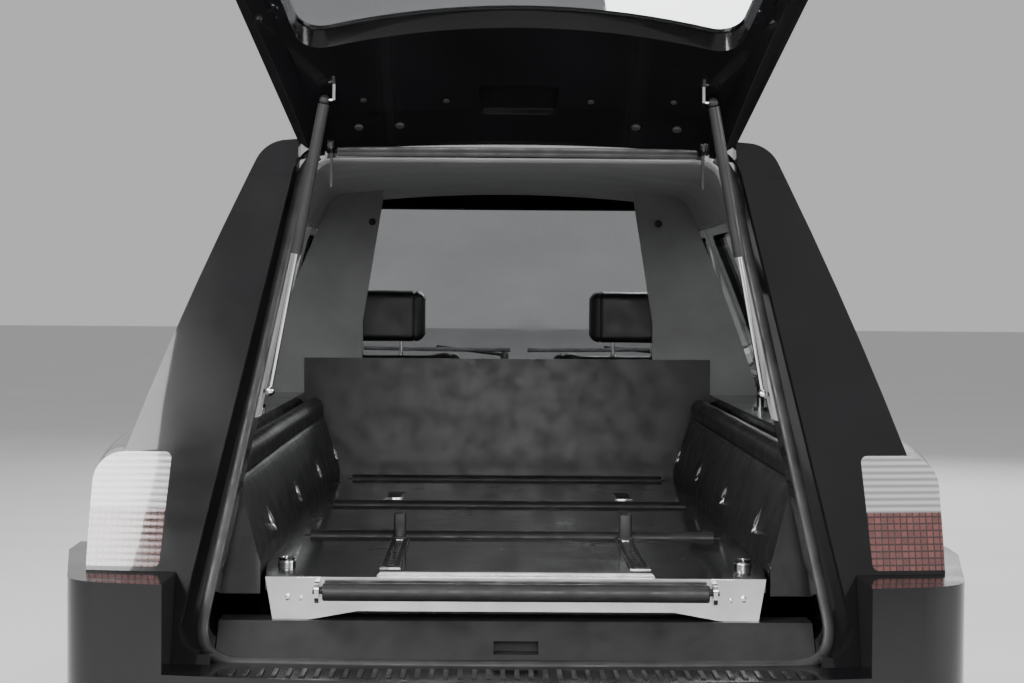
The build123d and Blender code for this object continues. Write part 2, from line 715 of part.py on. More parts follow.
def make_front_bumper():
    outer = extrude(Pos(0, 0, SILL_Z) * front_bumper_plan(0), FRONT_BUMPER_TOP - SILL_Z)
    outer = fillet(outer.edges().filter_by(Plane.XY).group_by(Axis.Z)[0], 24)
    inner = extrude(Pos(0, 0, SILL_Z + 30) * front_bumper_plan(-70), 600)
    inner += block((-830, 830), (FRONT_AXLE_Y, FRONT_AXLE_Y + ARCH_R + 90), (0, 1000))
    bumper = outer - inner
    intake = rear_prism(mirrored_outline([(480, 300), (540, 420)]), (NOSE_Y - 400, NOSE_Y + 10), 25)
    bumper -= intake
    slats = extrude(front_bumper_plan(-24), 700) - extrude(front_bumper_plan(-48), 700)
    slats &= rear_prism(mirrored_outline([(484, 296), (544, 424)]), (NOSE_Y - 400, NOSE_Y + 10), 25)
    for i in range(3):
        z = 324 + i * 27
        bumper += slats & block((-600, 600), (NOSE_Y - 400, NOSE_Y), (z - 6, z + 6))
    return biggest(bumper)


def make_cowl():
    """The scuttle panel under the windscreen, with the engine bulkhead below it."""
    half, y = SCUTTLE_HALF - 1, COWL_Y - BULKHEAD_SETBACK
    top = block((-half, half), (y - BULKHEAD, SCUTTLE_FRONT_Y), (BELT_Z - 75, BELT_Z + 60))
    scuttle = (top & lower_body(12)) - lower_body(42)
    scuttle += block((-680, 680), (SCUTTLE_FRONT_Y - 12, SCUTTLE_FRONT_Y), (BELT_Z - 60, BELT_Z - 20))
    wall = block((-728, 728), (y - BULKHEAD, y), (CAB_FLOOR_Z + FLOOR_THICK, BELT_Z - 20)) & lower_body(41)
    bracket = block((-700, 700), (y - 1, y + 25), (BELT_Z - 75, BELT_Z - 40))
    return scuttle + wall + bracket


# Tail


def lamp_space():
    """The tail lamp's outline from behind, at the right-hand corner."""
    low, high = LAMP_Z
    outline = [(LAMP_INNER_X + 12, low), (1000, low), (1000, high), (LAMP_INNER_X, high)]
    return rear_prism(outline, (REAR_AXLE_Y - 1400, REAR_AXLE_Y - LAMP_WRAP), 12)


def make_tail_lamp():
    lamp = biggest((OUTER & lamp_space()) - ahead_of_tail(90))
    wrap = biggest(OUTER & lamp_space() - lower_body(45))
    return biggest(lamp + wrap)


def rear_bumper_plan(grow):
    x, rear = HALF_WIDTH + 4 + grow, BUMPER_REAR_Y - grow
    front, bend = REAR_BUMPER_FRONT_Y + grow, REAR_AXLE_Y - 560
    corner = (x - 92, rear + 108)
    face = make_face([
        ThreePointArc((-corner[0], corner[1]), (0, rear), corner),
        Polyline(corner, (x - 4, bend), (x, front), (-x, front), (4 - x, bend), (-corner[0], corner[1])),
    ])
    return fillet(face.vertices().sort_by(Axis.Y)[:2], 120 + grow)


def make_rear_bumper():
    """A wrap-round bumper: high at its corners beside the load opening, with a low step between."""
    outer = extrude(Pos(0, 0, SILL_Z + 50) * rear_bumper_plan(0), REAR_BUMPER_TOP - SILL_Z - 50)
    outer = fillet(outer.edges().filter_by(Plane.XY).group_by(Axis.Z)[0], 22)
    hollow_top, front = REAR_BUMPER_TOP - 90, REAR_BUMPER_FRONT_Y
    inner = extrude(Pos(0, 0, SILL_Z) * rear_bumper_plan(-50), hollow_top - SILL_Z)
    shelf = BUMPER_STEP_HALF + 6
    inner -= block((-shelf, shelf), (-3500, -1000), (BUMPER_STEP_Z - BUMPER_SHELF, 1000))
    inner += block((-840, 840), (front - 60, front + 30), (0, hollow_top))
    bumper = outer - inner
    bumper -= block((-BUMPER_STEP_HALF, BUMPER_STEP_HALF), (-3500, -1000), (BUMPER_STEP_Z, 1000))
    bumper -= block((-700, 700), (DECK_REAR_Y - 18, 0), (0, 1000))
    bumper -= arch_cylinder(REAR_AXLE_Y, ARCH_R + 22 + SEAT_GAP, (-1100, 1100))
    return bumper


def make_rear_sill():
    """The black cross member and trim below the load opening, with the latch recess in its face."""
    y = (DECK_REAR_Y - 17, DECK_REAR_Y + 60)
    trim = block((-SILL_HALF, SILL_HALF), y, (FLOOR_Z + FLOOR_THICK, OPENING_BOTTOM_Z))
    low, high, step = OPENING_BOTTOM_Z, DECK_Z - SILL_PLATE_END, BUMPER_STEP_Z + SEAT_GAP
    outline = [(y[0], low), (y[0], step), (y[0] - SILL_SLOPE, step), (y[0], high), (y[1], high), (y[1], low)]
    trim += side_prism(outline, (-SILL_HALF, SILL_HALF))
    recess = block((-LATCH_HALF, LATCH_HALF), (y[0] - SILL_SLOPE, y[0] - 5), (step + 9, step + 31))
    return trim - recess


# Load space

def make_floor():
    """The floor pan: low in the cab, stepped up over the axle, with tubs over the rear wheels."""
    step_y = DECK_FRONT_Y - 190
    z, load_top = (CAB_FLOOR_Z, CAB_FLOOR_Z + FLOOR_THICK), FLOOR_Z + FLOOR_THICK
    rear, front = DECK_REAR_Y + 60, COWL_Y - BULKHEAD_SETBACK - 1
    profile = [(front, z[0]), (front, z[1]), (step_y + 120, z[1]), (step_y, load_top),
               (rear, load_top), (rear, FLOOR_Z), (step_y - 15, FLOOR_Z), (step_y + 100, z[0])]
    pan = side_prism(profile, (-1000, 1000)) & lower_body(SIDE_WALL + SEAT_GAP, INNER_DROP)
    tunnel_y = (step_y + 20, COWL_Y - BULKHEAD_SETBACK - BULKHEAD - SEAT_GAP)
    pan += block((-TUNNEL_HALF, TUNNEL_HALF), tunnel_y, (z[0], TUNNEL_Z))
    pan -= block((15 - TUNNEL_HALF, TUNNEL_HALF - 15), (step_y - 20, COWL_Y), (z[0] - 1, TUNNEL_Z - 15))
    tub = arch_cylinder(REAR_AXLE_Y, ARCH_R + 22, (TUB_X, HALF_WIDTH))
    well = arch_cylinder(REAR_AXLE_Y, ARCH_R + 8, (TUB_X + 14, HALF_WIDTH + 10))
    tub = tub & lower_body(SIDE_WALL + SEAT_GAP, INNER_DROP) & block((0, 1000), (-3000, 0), (FLOOR_Z, 1000))
    pan += tub + mirrored(tub)
    return pan - well - mirrored(well)


def make_deck():
    """The glossy platform, tapered a little to the sill, on two side boards."""
    half = [(DECK_END_HALF, DECK_REAR_Y), (DECK_HALF, DECK_REAR_Y + 180), (DECK_HALF, DECK_FRONT_Y)]
    top = plan_prism(mirrored_outline(half), (DECK_Z - DECK_THICK, DECK_Z))
    outer, inner = DECK_HALF - 20, DECK_HALF - 20 - DECK_BOARD
    z = (FLOOR_Z + FLOOR_THICK + SEAT_GAP, DECK_Z - DECK_THICK)
    frame = block((-outer, outer), (DECK_REAR_Y + 70, DECK_FRONT_Y - 10), z)
    frame -= block((-inner, inner), (DECK_REAR_Y + 70 + DECK_BOARD, DECK_FRONT_Y - 10 - DECK_BOARD), z)
    deck = top + frame
    slot = ROLLER_HALF + 2
    for y in ROLLER_Y:
        sides = (y - ROLLER_R - 9, y + ROLLER_R + 9)
        deck -= block((-slot, slot), sides, (DECK_Z - ROLLER_R - 4, DECK_Z + 1))
    half, y = TRACK_HALF + 1, (TRACK_Y[0] - 0.5, TRACK_Y[1] + 0.5)
    for x in (-TRACK_X, TRACK_X):
        deck -= block((x - half, x + half), y, (DECK_Z - TRACK_SINK, DECK_Z + 1))
    return deck


def make_deck_rollers():
    """Rubber-covered rollers let into the deck, each on a shaft held by the ends of its slot."""
    rollers = []
    shaft = 2 * (ROLLER_HALF + 2 - SEAT_GAP)
    for y in ROLLER_Y:
        bar = Pos(0, y, DECK_Z - 3) * Rot(0, 90, 0) * Cylinder(ROLLER_R, 2 * ROLLER_HALF - 24)
        axle = Pos(0, y, DECK_Z - 3) * Rot(0, 90, 0) * Cylinder(ROLLER_R / 3, shaft)
        rollers.append(bar + axle)
    return group(*rollers)


def make_tracks():
    """Two chrome tracks with a row of peg holes, let into the deck."""
    tracks = []
    top = DECK_Z + TRACK_PROUD
    for x in (-TRACK_X, TRACK_X):
        track = block((x - TRACK_HALF, x + TRACK_HALF), TRACK_Y, (DECK_Z - TRACK_SINK + SEAT_GAP, top))
        for i in range(PEG_HOLES):
            track -= Pos(x, TRACK_Y[0] + 20 + i * PEG_PITCH, top) * Cylinder(PEG_HOLE_R, 2 * PEG_DEPTH)
        tracks.append(track)
    return group(*tracks)


def make_bier_pins():
    """The stops that stand on the tracks, and the knobs beside them."""
    pins = []
    y, low = TRACK_Y[0] + 20 + 10.5 * PEG_PITCH - 12, DECK_Z + TRACK_PROUD
    for side in (-1, 1):
        x = side * TRACK_X
        stop = block((x - 12, x + 12), (y, y + 24), (low, low + STOP_HEIGHT))
        pins.append(fillet(stop.edges().filter_by(Axis.Z), 5))
        knob = Pos(side * KNOB_X, KNOB_Y, DECK_Z + 6) * Cylinder(18, 12)
        pins.append(fillet(knob.edges().sort_by(Axis.Z)[-1:], 5))
    return group(*pins)


def make_sill_plate():
    """The polished plate that closes the deck's rear end, with the threshold strip above it."""
    y = DECK_REAR_Y - SILL_PLATE_THICK - SEAT_GAP
    top, end, mid = DECK_Z + 1, DECK_Z - SILL_PLATE_END, DECK_Z - SILL_PLATE_MID
    outline = mirrored_outline([(DECK_END_HALF - 14, end), (DECK_END_HALF, top)])
    outline = [(-300, mid), (300, mid), (DECK_END_HALF - 80, end)] + outline + [(80 - DECK_END_HALF, end)]
    return rear_prism(outline, (y, y + SILL_PLATE_THICK))


def make_threshold():
    """A thin raised strip across the deck's edge, with tapered ends."""
    y = DECK_REAR_Y + 20
    strip = block((-265, 265), (y, y + 16), (DECK_Z + SEAT_GAP, DECK_Z + 8))
    return chamfer(strip.edges().filter_by(Axis.Y).group_by(Axis.Z)[-1], 7)


def make_roller_brackets():
    """The two D-shaped brackets that hold the sill roller."""
    brackets = []
    back = DECK_REAR_Y - SILL_PLATE_THICK - 2 * SEAT_GAP
    for side in (-1, 1):
        x = side * (ROLLER_BRACKET_X + 10)
        plate = Pos(x, back - 4, DECK_Z - 29) * Box(45, 8, 58)
        plate = fillet(plate.edges().filter_by(Axis.Y).sort_by(Axis.Z)[:2], 21)
        cheek_x = side * (ROLLER_BRACKET_X - 8)
        cheek = block((cheek_x - 4, cheek_x + 4), (back - 46, back - 4), (DECK_Z - 44, DECK_Z - 4))
        cheek = fillet(cheek.edges().filter_by(Axis.X).sort_by(Axis.Y)[:2], 14)
        plate = plate + cheek
        bore = Rot(0, 90, 0) * Cylinder(SILL_SHAFT_R + SEAT_GAP, 2000)
        plate -= Pos(0, SILL_ROLLER_Y, SILL_ROLLER_Z) * bore
        brackets.append(plate)
    return group(*brackets)


def make_sill_roller():
    half = ROLLER_BRACKET_X - 18
    bar = Pos(0, SILL_ROLLER_Y, SILL_ROLLER_Z) * Rot(0, 90, 0) * Cylinder(SILL_ROLLER_R, 2 * half)
    axle = Pos(0, SILL_ROLLER_Y, SILL_ROLLER_Z) * Rot(0, 90, 0) * Cylinder(SILL_SHAFT_R, 2 * half + 38)
    return fillet(bar.edges().filter_by(GeomType.CIRCLE), 3) + axle


def make_side_trims():
    """Upholstered panels beside the deck, each a leaning slab with a rolled top edge."""
    inner, outer = DECK_HALF + SEAT_GAP, DECK_HALF + TRIM_WIDTH
    low, top = DECK_Z - 40, TRIM_TOP_Z
    outline = [(inner, low), (inner, DECK_Z + 20), (outer - 52, top - 26), (outer - 45, top),
               (outer - 8, top + 2), (outer, top - 30), (outer, low)]
    panel = rear_prism(outline, (TRIM_REAR_Y, DECK_FRONT_Y - 45), 6) & ahead_of_tail(TAIL_WALL + SEAT_GAP)
    return group(panel, mirrored(panel))


def make_side_ledges():
    """Glossy shelves between the upholstered panels and the side windows, with a skirt down to the floor."""
    inner = DECK_HALF + TRIM_WIDTH + SEAT_GAP
    y, under = (TRIM_REAR_Y, DECK_FRONT_Y - 45), LEDGE_TOP_Z - LEDGE_THICK
    hollow = lower_body(SIDE_WALL + SEAT_GAP, INNER_DROP) + upper_body(CABIN_WALL + SEAT_GAP, ROOF_WALL)
    shelf = biggest(block((inner, 1000), y, (under, LEDGE_TOP_Z)) & hollow)
    skirt = block((inner, inner + 12), y, (DECK_Z - 40, under))
    ledge = (shelf + skirt) & ahead_of_tail(TAIL_WALL + SEAT_GAP)
    return group(ledge, mirrored(ledge))


def make_wreath_rails():
    """Chrome posts with collars and ball tops on each ledge, with a dark bar along them."""
    rails = []
    low, rail_z = LEDGE_TOP_Z, POST_TOP_Z - 42
    for side in (-1, 1):
        x = side * POST_X_LOAD
        rail = rod((x, POST_Y[0] - 60, rail_z), (x, POST_Y[-1] + 60, rail_z), 7)
        for y in POST_Y:
            rail += rod((x, y, low), (x, y, POST_TOP_Z), POST_R)
            rail += rod((x, y, low), (x, y, low + 10), 17)
            rail += Pos(x, y, rail_z) * Cylinder(13, 26)
            rail += Pos(x, y, POST_TOP_Z + 6) * Sphere(14)
        rails.append(rail)
    return group(*rails)


def make_headlining():
    """The pale roof lining: a thin shell under the roof, open over the windows."""
    outer = upper_body(CABIN_WALL + 8, ROOF_WALL + 0.8)
    shell = outer - upper_body(CABIN_WALL + 40, ROOF_WALL + LINING_THICK)
    shell = shell & block((-1000, 1000), (-3000, 3000), (ROOF_SEAM_Z - 38, 2000))
    shell = shell & ahead_of_tail(TAIL_WALL + 6) & behind_screen(SCREEN_WALL + 60)
    return biggest(shell)


def make_partition():
    """The board behind the front seats, with pale wings up to the roof lining at its sides."""
    y = (DECK_FRONT_Y + 6, DECK_FRONT_Y + 24)
    waist = BELT_Z - 40
    board = block((-1000, 1000), y, (CAB_FLOOR_Z + FLOOR_THICK + SEAT_GAP, waist))
    board = board & lower_body(SIDE_WALL + 2 * SEAT_GAP, INNER_DROP)
    upper = block((-600, 600), y, (waist, PARTITION_Z))
    tunnel = block((-TUNNEL_HALF - SEAT_GAP, TUNNEL_HALF + SEAT_GAP), y, (0, TUNNEL_Z + SEAT_GAP))
    return board + upper - tunnel


def make_wings():
    y = (DECK_FRONT_Y + 26, DECK_FRONT_Y + 44)
    low, high = BELT_Z - 60, ROOF_Z + 60
    outline = [(430, low), (430, 1180), (372, ROOF_SEAM_Z + 40), (372, high), (1000, high), (1000, low)]
    inside = upper_body(CABIN_WALL + 42, ROOF_WALL + LINING_THICK + SEAT_GAP)
    inside += lower_body(SIDE_WALL + SEAT_GAP, INNER_DROP)
    wing = biggest(rear_prism(outline, y) & inside)
    return group(wing, mirrored(wing))


# Cab


def make_seats():
    """Two front seats: cushion, backrest and headrest, each on its own base."""
    pieces = []
    for side in (-1, 1):
        middle = side * SEAT_X
        x, y = (middle - SEAT_WIDTH / 2, middle + SEAT_WIDTH / 2), SEAT_BACK_Y
        low = SEAT_BASE_Z
        base = block((x[0] + 60, x[1] - 60), (y + 60, y + 520), (CAB_FLOOR_Z + FLOOR_THICK, low))
        outline = [(y + 40, low), (y + 40, 500), (y + 560, 540), (y + 590, 440), (y + 540, low)]
        cushion = side_prism(outline, x, 38)
        back = side_prism([(y + 130, 480), (y + 5, 470), (y - 55, 1040), (y - 20, 1085), (y + 30, 1080),
                           (y + 75, 960)], (x[0] + 12, x[1] - 12), 22)
        head = fillet((Pos(middle, y + 5, 1195) * Rot(-6, 0, 0) * Box(270, 95, 165)).edges(), 35)
        seat = base + cushion + back + head
        for stem in (middle - 60, middle + 60):
            seat += rod((stem, y + 3, 1060), (stem, y + 3, 1150), 7)
        pieces.append(seat)
    return group(*pieces)


def make_dashboard():
    """The dashboard, right across the cab, with a hood over the dials on the driver's side."""
    y = COWL_Y - BULKHEAD_SETBACK - BULKHEAD - 1
    outline = [(y, 640), (y, 945), (y - 120, 968), (y - 300, 925), (y - 330, 860), (y - 290, 700),
               (y - 150, 620)]
    dash = side_prism(outline, (-1000, 1000), 25)
    hood = side_prism([(y - 120, 900), (y - 150, 1000), (y - 330, 985), (y - 345, 940), (y - 300, 880)],
                      (DRIVER_X - 190, DRIVER_X + 190), 16)
    console = block((-110, 110), (y - 620, y - 100), (TUNNEL_Z + SEAT_GAP, 560))
    console += block((-110, 110), (y - 320, y - 60), (500, 700))
    inside = lower_body(SIDE_WALL + 14, 0) + upper_body(CABIN_WALL + 30, ROOF_WALL)
    width = block((-DASH_HALF, DASH_HALF), (0, 3000), (0, 2000))
    dash = (dash + hood) & inside & behind_screen(SCREEN_WALL + 6) & width
    return dash + console - steering_column(SEAT_GAP)


def steering_place():
    return Pos(DRIVER_X, COWL_Y - 561, 880) * Rot(90 - STEERING_TILT, 0, 0)


def steering_column(grow=0):
    column = Cylinder(34 + grow, 190 + grow, align=(Align.CENTER, Align.CENTER, Align.MAX))
    return steering_place() * column


def make_steering_wheel():
    """The wheel, its three spokes and hub, and the column that runs into the dashboard."""
    ring = Torus(STEERING_WHEEL_R - 15, 15)
    hub = Pos(0, 0, -8) * Cylinder(52, 34)
    wheel = ring + fillet(hub.edges(), 8)
    for angle in (0, 180, 270):
        wheel += Rot(0, 0, angle) * block((30, STEERING_WHEEL_R - 12), (-16, 16), (-12, 2))
    return steering_place() * wheel + steering_column()


# Running gear

def wheel_solids():
    """A tyre and a rim with ten spokes, centred on the origin, with the outer face towards +X."""
    r, w, rim = WHEEL_R, TYRE_WIDTH / 2, RIM_DIAMETER / 2
    half = [(w - 16, rim), (w, rim + 36), (w - 14, r - 12), (w - 42, r)]
    outline = half + [(-x, radius) for x, radius in reversed(half)]
    tyre = revolve(make_face(Plane.XZ * FilletPolyline(*outline, radius=10, close=True)), Axis.X)
    barrel_profile = make_face(Plane.XZ * Polyline(
        (-w + 18, rim), (-w + 18, rim - 16), (-w + 34, rim - 24), (w - 32, rim - 24), (w - 20, rim - 10),
        (w - 18, rim), close=True))
    barrel = revolve(barrel_profile, Axis.X)
    disc = Pos(w - 50, 0, 0) * Rot(0, 90, 0) * Cylinder(70, 28)
    disc -= Pos(w - 36, 0, 0) * Rot(0, 90, 0) * Cylinder(30, 20)
    rim_solid = barrel + disc
    spoke = side_prism([(-17, 50), (-13, rim - 20), (13, rim - 20), (17, 50)], (w - 62, w - 40))
    for i in range(SPOKES):
        rim_solid += spoke.rotate(Axis.X, i * 360 / SPOKES)
    bore = Rot(0, 90, 0) * Cylinder(SPINDLE_R + SEAT_GAP, 400)
    return tyre, rim_solid - bore


def place_wheel(shape, side, y):
    if side < 0:
        shape = mirrored(shape)
    return Pos(side * WHEEL_X, y, WHEEL_R) * shape


def make_knuckle():
    """The right-hand steering knuckle: upright, spindle, brake disc and steering arm."""
    x, y, z = KINGPIN_X + 2, FRONT_AXLE_Y, WHEEL_R
    upright = block((x - 16, x + 12), (y - 34, y + 34), (BALL_Z[0] - 2, BALL_Z[1] + 2))
    upright = fillet(upright.edges().filter_by(Axis.X), 14)
    for level in BALL_Z:
        upright -= Pos(KINGPIN_X, y, level) * Cylinder(9.3, 30)
    hub = rod((x - 10, y, z), (x + 34, y, z), 46)
    disc = rod((x + 20, y, z), (x + 40, y, z), DISC_R)
    spindle = rod((x + 20, y, z), (WHEEL_X + TYRE_WIDTH / 2 - 52, y, z), SPINDLE_R)
    arm = block((x - 60, x + 2), (y - 130, y - 112), (z - 40, z - 26))
    arm += block((x - 14, x + 8), (y - 130, y - 20), (z - 44, z - 22))
    caliper = block((x + 6, x + 54), (y + 72, y + 132), (z - 50, z + 50))
    caliper -= rod((x + 16, y, z), (x + 44, y, z), DISC_R + 4)
    caliper += block((x - 14, x + 10), (y + 20, y + 100), (z - 30, z + 30))
    return upright + hub + disc + spindle + arm + caliper


def make_front_suspension():
    """The front cross member, two wishbones a side with ball joints, springs and the rails they hang on."""
    y, z = FRONT_AXLE_Y, WHEEL_R
    frame = block((-FRAME_X, FRAME_X), (y - 70, y + 70), (z - 150, z - 80))
    frame -= block((100 - FRAME_X, FRAME_X - 100), (y - 80, y + 80), (z - 100, z))
    rail_y = (COWL_Y - BULKHEAD_SETBACK + SEAT_GAP, NOSE_Y - 190)
    for side in (-1, 1):
        x = side * FRAME_X
        frame += block((x, x - side * 60), rail_y, (z + 40, z + 140))
        frame += block((x, x - side * 50), (y - 60, y + 60), (z - 150, z + 41))
        frame += block((x, x - side * 50), (y - 60, y + 60), (z + 100, z + 330))
        for level in BALL_Z:
            frame += wishbone(side, level)
    return frame


def wishbone(side, level):
    """A forked arm from the frame to the ball joint at the knuckle."""
    y, pin_x = FRONT_AXLE_Y, side * KINGPIN_X
    low = level < WHEEL_R
    z = (level - 22, level - 4) if low else (level + 4, level + 22)
    root, neck, fork = side * (FRAME_X - 5), side * 575, side * 540
    outline = [(root, y - 100), (root, y + 100), (neck, y + 30), (pin_x, y + 24), (pin_x, y - 24),
               (neck, y - 30)]
    window = [(root - side, y - 62), (root - side, y + 62), (fork, y + 10), (fork, y - 10)]
    arm = plan_prism(outline, z) - plan_prism(window, (z[0] - 1, z[1] + 1))
    ball = Pos(pin_x, y, (z[0] + z[1]) / 2) * Cylinder(24, z[1] - z[0])
    stud = rod((pin_x, y, z[0] + 2), (pin_x, y, level + (12 if low else -12)), 9)
    return arm + ball + stud


def make_rear_axle():
    """A live axle with its differential, brake discs, and two leaf springs with their hangers."""
    y, z = REAR_AXLE_Y, WHEEL_R
    tube_end = WHEEL_X - TYRE_WIDTH / 2 + 10
    axle = rod((-tube_end, y, z), (tube_end, y, z), 38)
    axle += Pos(0, y, z) * Sphere(95)
    axle += rod((0, y + 40, z), (0, y + 165, z), 42)
    for side in (-1, 1):
        axle += rod((side * (tube_end - 28), y, z), (side * tube_end, y, z), DISC_R)
        axle += rod((side * tube_end, y, z), (side * (WHEEL_X + TYRE_WIDTH / 2 - 52), y, z), SPINDLE_R)
        x = side * SPRING_X
        spring = side_prism([(y - 620, 392), (y - 120, 282), (y + 120, 282), (y + 620, 392), (y + 620, 406),
                             (y + 120, 300), (y - 120, 300), (y - 620, 406)], (x - 35, x + 35))
        axle += spring
        for end in (-1, 1):
            eye_y = y + end * 620
            axle += rod((x - 35, eye_y, 399), (x + 35, eye_y, 399), 22)
            axle += block((x - 45, x + 45), (eye_y - 12, eye_y + 12), (399, FLOOR_Z - SEAT_GAP))
    return axle


def make_propshaft():
    y = REAR_AXLE_Y + 165 + SEAT_GAP
    shaft = rod((0, y, WHEEL_R), (0, y + 60, WHEEL_R), 48)
    shaft += rod((0, y + 40, WHEEL_R), (0, PROP_FRONT_Y + 20, GEARBOX_Z), 36)
    return shaft - block((-60, 60), (PROP_FRONT_Y + 1 - SEAT_GAP, PROP_FRONT_Y + 60), (0, 500))


def make_engine():
    """The engine and gearbox, as one plain mass on the cross member."""
    y = FRONT_AXLE_Y
    beam_top = WHEEL_R - 80
    engine = block((-230, 230), (y - 440, y + 330), (beam_top + SEAT_GAP, 760))
    engine = chamfer(engine.edges().filter_by(Axis.Y), 60)
    rear, flange = y - 438, PROP_FRONT_Y + 1
    outline = [(rear, 260), (rear, 560), (COWL_Y - 20, 420), (COWL_Y - 95, 268), (flange, 268), (flange, 160),
               (COWL_Y - 100, 150), (rear, 170)]
    return engine + side_prism(outline, (-95, 95))


def make_fuel_tank():
    y = REAR_AXLE_Y - 230
    tank = block((-430, 60), (y - 520, y), (FLOOR_Z - 190, FLOOR_Z - SEAT_GAP))
    return fillet(tank.edges().filter_by(Axis.Y), 40)


def make_exhaust():
    """One pipe from the engine to a silencer beside the tank, and out under the bumper."""
    z = 215
    route = [(300, FRONT_AXLE_Y - 250, z), (300, REAR_AXLE_Y + 420, z), (215, REAR_AXLE_Y + 250, 205),
             (215, REAR_AXLE_Y - 150, 205), (300, REAR_AXLE_Y - 330, 290)]
    pipe = rod(route[0], route[1], 27)
    for start, end in zip(route[1:], route[2:]):
        pipe += Pos(*start) * Sphere(27)
        pipe += rod(start, end, 27)
    box = block((190, 410), (REAR_AXLE_Y - 900, REAR_AXLE_Y - 320), (225, 355))
    pipe += fillet(box.edges().filter_by(Axis.Y), 55)
    pipe += rod((300, REAR_AXLE_Y - 890, 275), (300, BUMPER_REAR_Y + 60, 260), 24)
    hangers = [(300, FRONT_AXLE_Y - 700, z, CAB_FLOOR_Z), (300, DECK_FRONT_Y - 700, z, FLOOR_Z),
               (300, REAR_AXLE_Y - 600, 340, FLOOR_Z)]
    for x, y, low, high in hangers:
        pipe += block((x - 8, x + 8), (y - 12, y + 12), (low, high - SEAT_GAP))
    return pipe


def make_wheel_liners():
    """Arched liners over the front wheels, from the fender to the frame rails."""
    liners = []
    for side in (-1, 1):
        x = (LINER_INNER_X, HALF_WIDTH - 55 - SEAT_GAP)
        liner = arch_cylinder(FRONT_AXLE_Y, ARCH_R + 14, x)
        liner -= arch_cylinder(FRONT_AXLE_Y, ARCH_R + 4, (0, 1000))
        liner += arch_cylinder(FRONT_AXLE_Y, ARCH_R + 14, (x[0], x[0] + 10))
        liner &= block((0, 1000), (0, NOSE_Y), (WHEEL_R + 155, 1000))
        liner -= block((0, x[0] + 30), (FRONT_AXLE_Y - 75, FRONT_AXLE_Y + 75), (0, WHEEL_R + 345))
        liner &= lower_body(SIDE_WALL + SEAT_GAP, INNER_DROP)
        liners.append(liner if side > 0 else mirrored(liner))
    return group(*liners)


# Tailgate: drawn closed, then turned up about its hinges to the position at rest

HINGE_AXIS = Axis((0, HINGE_Y, HINGE_Z), (1, 0, 0))


def opened(shape):
    return shape.rotate(HINGE_AXIS, -TAILGATE_OPEN)


def opened_point(x, y, z):
    a = radians(-TAILGATE_OPEN)
    dy, dz = y - HINGE_Y, z - HINGE_Z
    return (x, HINGE_Y + dy * cos(a) - dz * sin(a), HINGE_Z + dy * sin(a) + dz * cos(a))


def tail_window_prism(shrink=0):
    """The rear window's outline, with its upper edge arched towards the glass."""
    top, low = tail_point(WINDOW_S[0] + shrink)[1], tail_point(WINDOW_S[1] - shrink)[1]
    arch = tail_point(WINDOW_S[0] + WINDOW_ARC + shrink)[1]
    half_top = WINDOW_HALF - shrink
    half_low = WINDOW_HALF + WINDOW_SLOPE * (WINDOW_S[1] - WINDOW_S[0]) - shrink
    face = make_face([
        ThreePointArc((-half_top, top), (0, arch), (half_top, top)),
        Polyline((half_top, top), (half_low, low), (-half_low, low), (-half_top, top)),
    ])
    face = fillet(face.vertices(), 50)
    plane = Plane(origin=(0, REAR_AXLE_Y - 1300, 0), x_dir=(1, 0, 0), z_dir=(0, -1, 0))
    return extrude(plane * face, 1000, dir=(0, 1, 0))


def make_tailgate():
    """The lifting panel: an outer skin and inner trim in one, with a recess and a stepped trim edge."""
    panel = tailgate_space(0, 0) - ahead_of_tail(TAILGATE_DEPTH)
    trim = tailgate_space(-62, 0) & ahead_of_tail(TAILGATE_DEPTH - 1)
    trim = trim - ahead_of_tail(TAILGATE_DEPTH + TRIM_DEPTH)
    lowest = tail_point(TRIM_TOP_S)[1]
    trim = trim & block((-1000, 1000), (-4000, 0), (0, lowest))
    panel = panel + trim - tail_window_prism()
    low, high = tail_point(205)[1], tail_point(95)[1]
    recess = rear_prism(mirrored_outline([(78, low), (70, high)]), (REAR_AXLE_Y - 1300, REAR_AXLE_Y), 10)
    panel -= recess & ahead_of_tail(TAILGATE_DEPTH - 8)
    notch_x = (BRACKET_X[0] - 5, BRACKET_X[1] + HINGE_CLEARANCE / 2)
    notch = block(notch_x, (-3000, -1000), (HINGE_Z - 42, 2000))
    return biggest(panel - notch - mirrored(notch))


def make_tailgate_glass():
    slab = ahead_of_tail(5) - ahead_of_tail(5 + GLASS)
    return biggest(slab & tail_window_prism(SEAT_GAP))


def make_tailgate_arms():
    """Flat hinge straps that lie on the tailgate's inner face and reach up to the pins."""
    face = TAILGATE_DEPTH + SEAT_GAP
    end = ARM_LENGTH
    places = [(-25, 12), (-14, 14), (-14, face), (end, face), (end, face + 10), (end - 12, face + 16),
              (0, face + 14), (-20, 36), (-25, 22)]
    outline = [tail_point(s, depth, ARM_X) for s, depth in places]
    x = (ARM_X - ARM_THICK / 2, ARM_X + ARM_THICK / 2)
    solid = side_prism(outline, x)
    boss = Plane.YZ.offset(x[0]) * (Pos(HINGE_Y, HINGE_Z) * Circle(8.5))
    solid += extrude(boss, ARM_THICK, dir=(1, 0, 0))
    hole = Plane.YZ.offset(x[0] - 1) * (Pos(HINGE_Y, HINGE_Z) * Circle(HINGE_PIN_R + SEAT_GAP))
    solid -= extrude(hole, ARM_THICK + 2, dir=(1, 0, 0))
    arm = opened(solid)
    return group(arm, mirrored(arm))


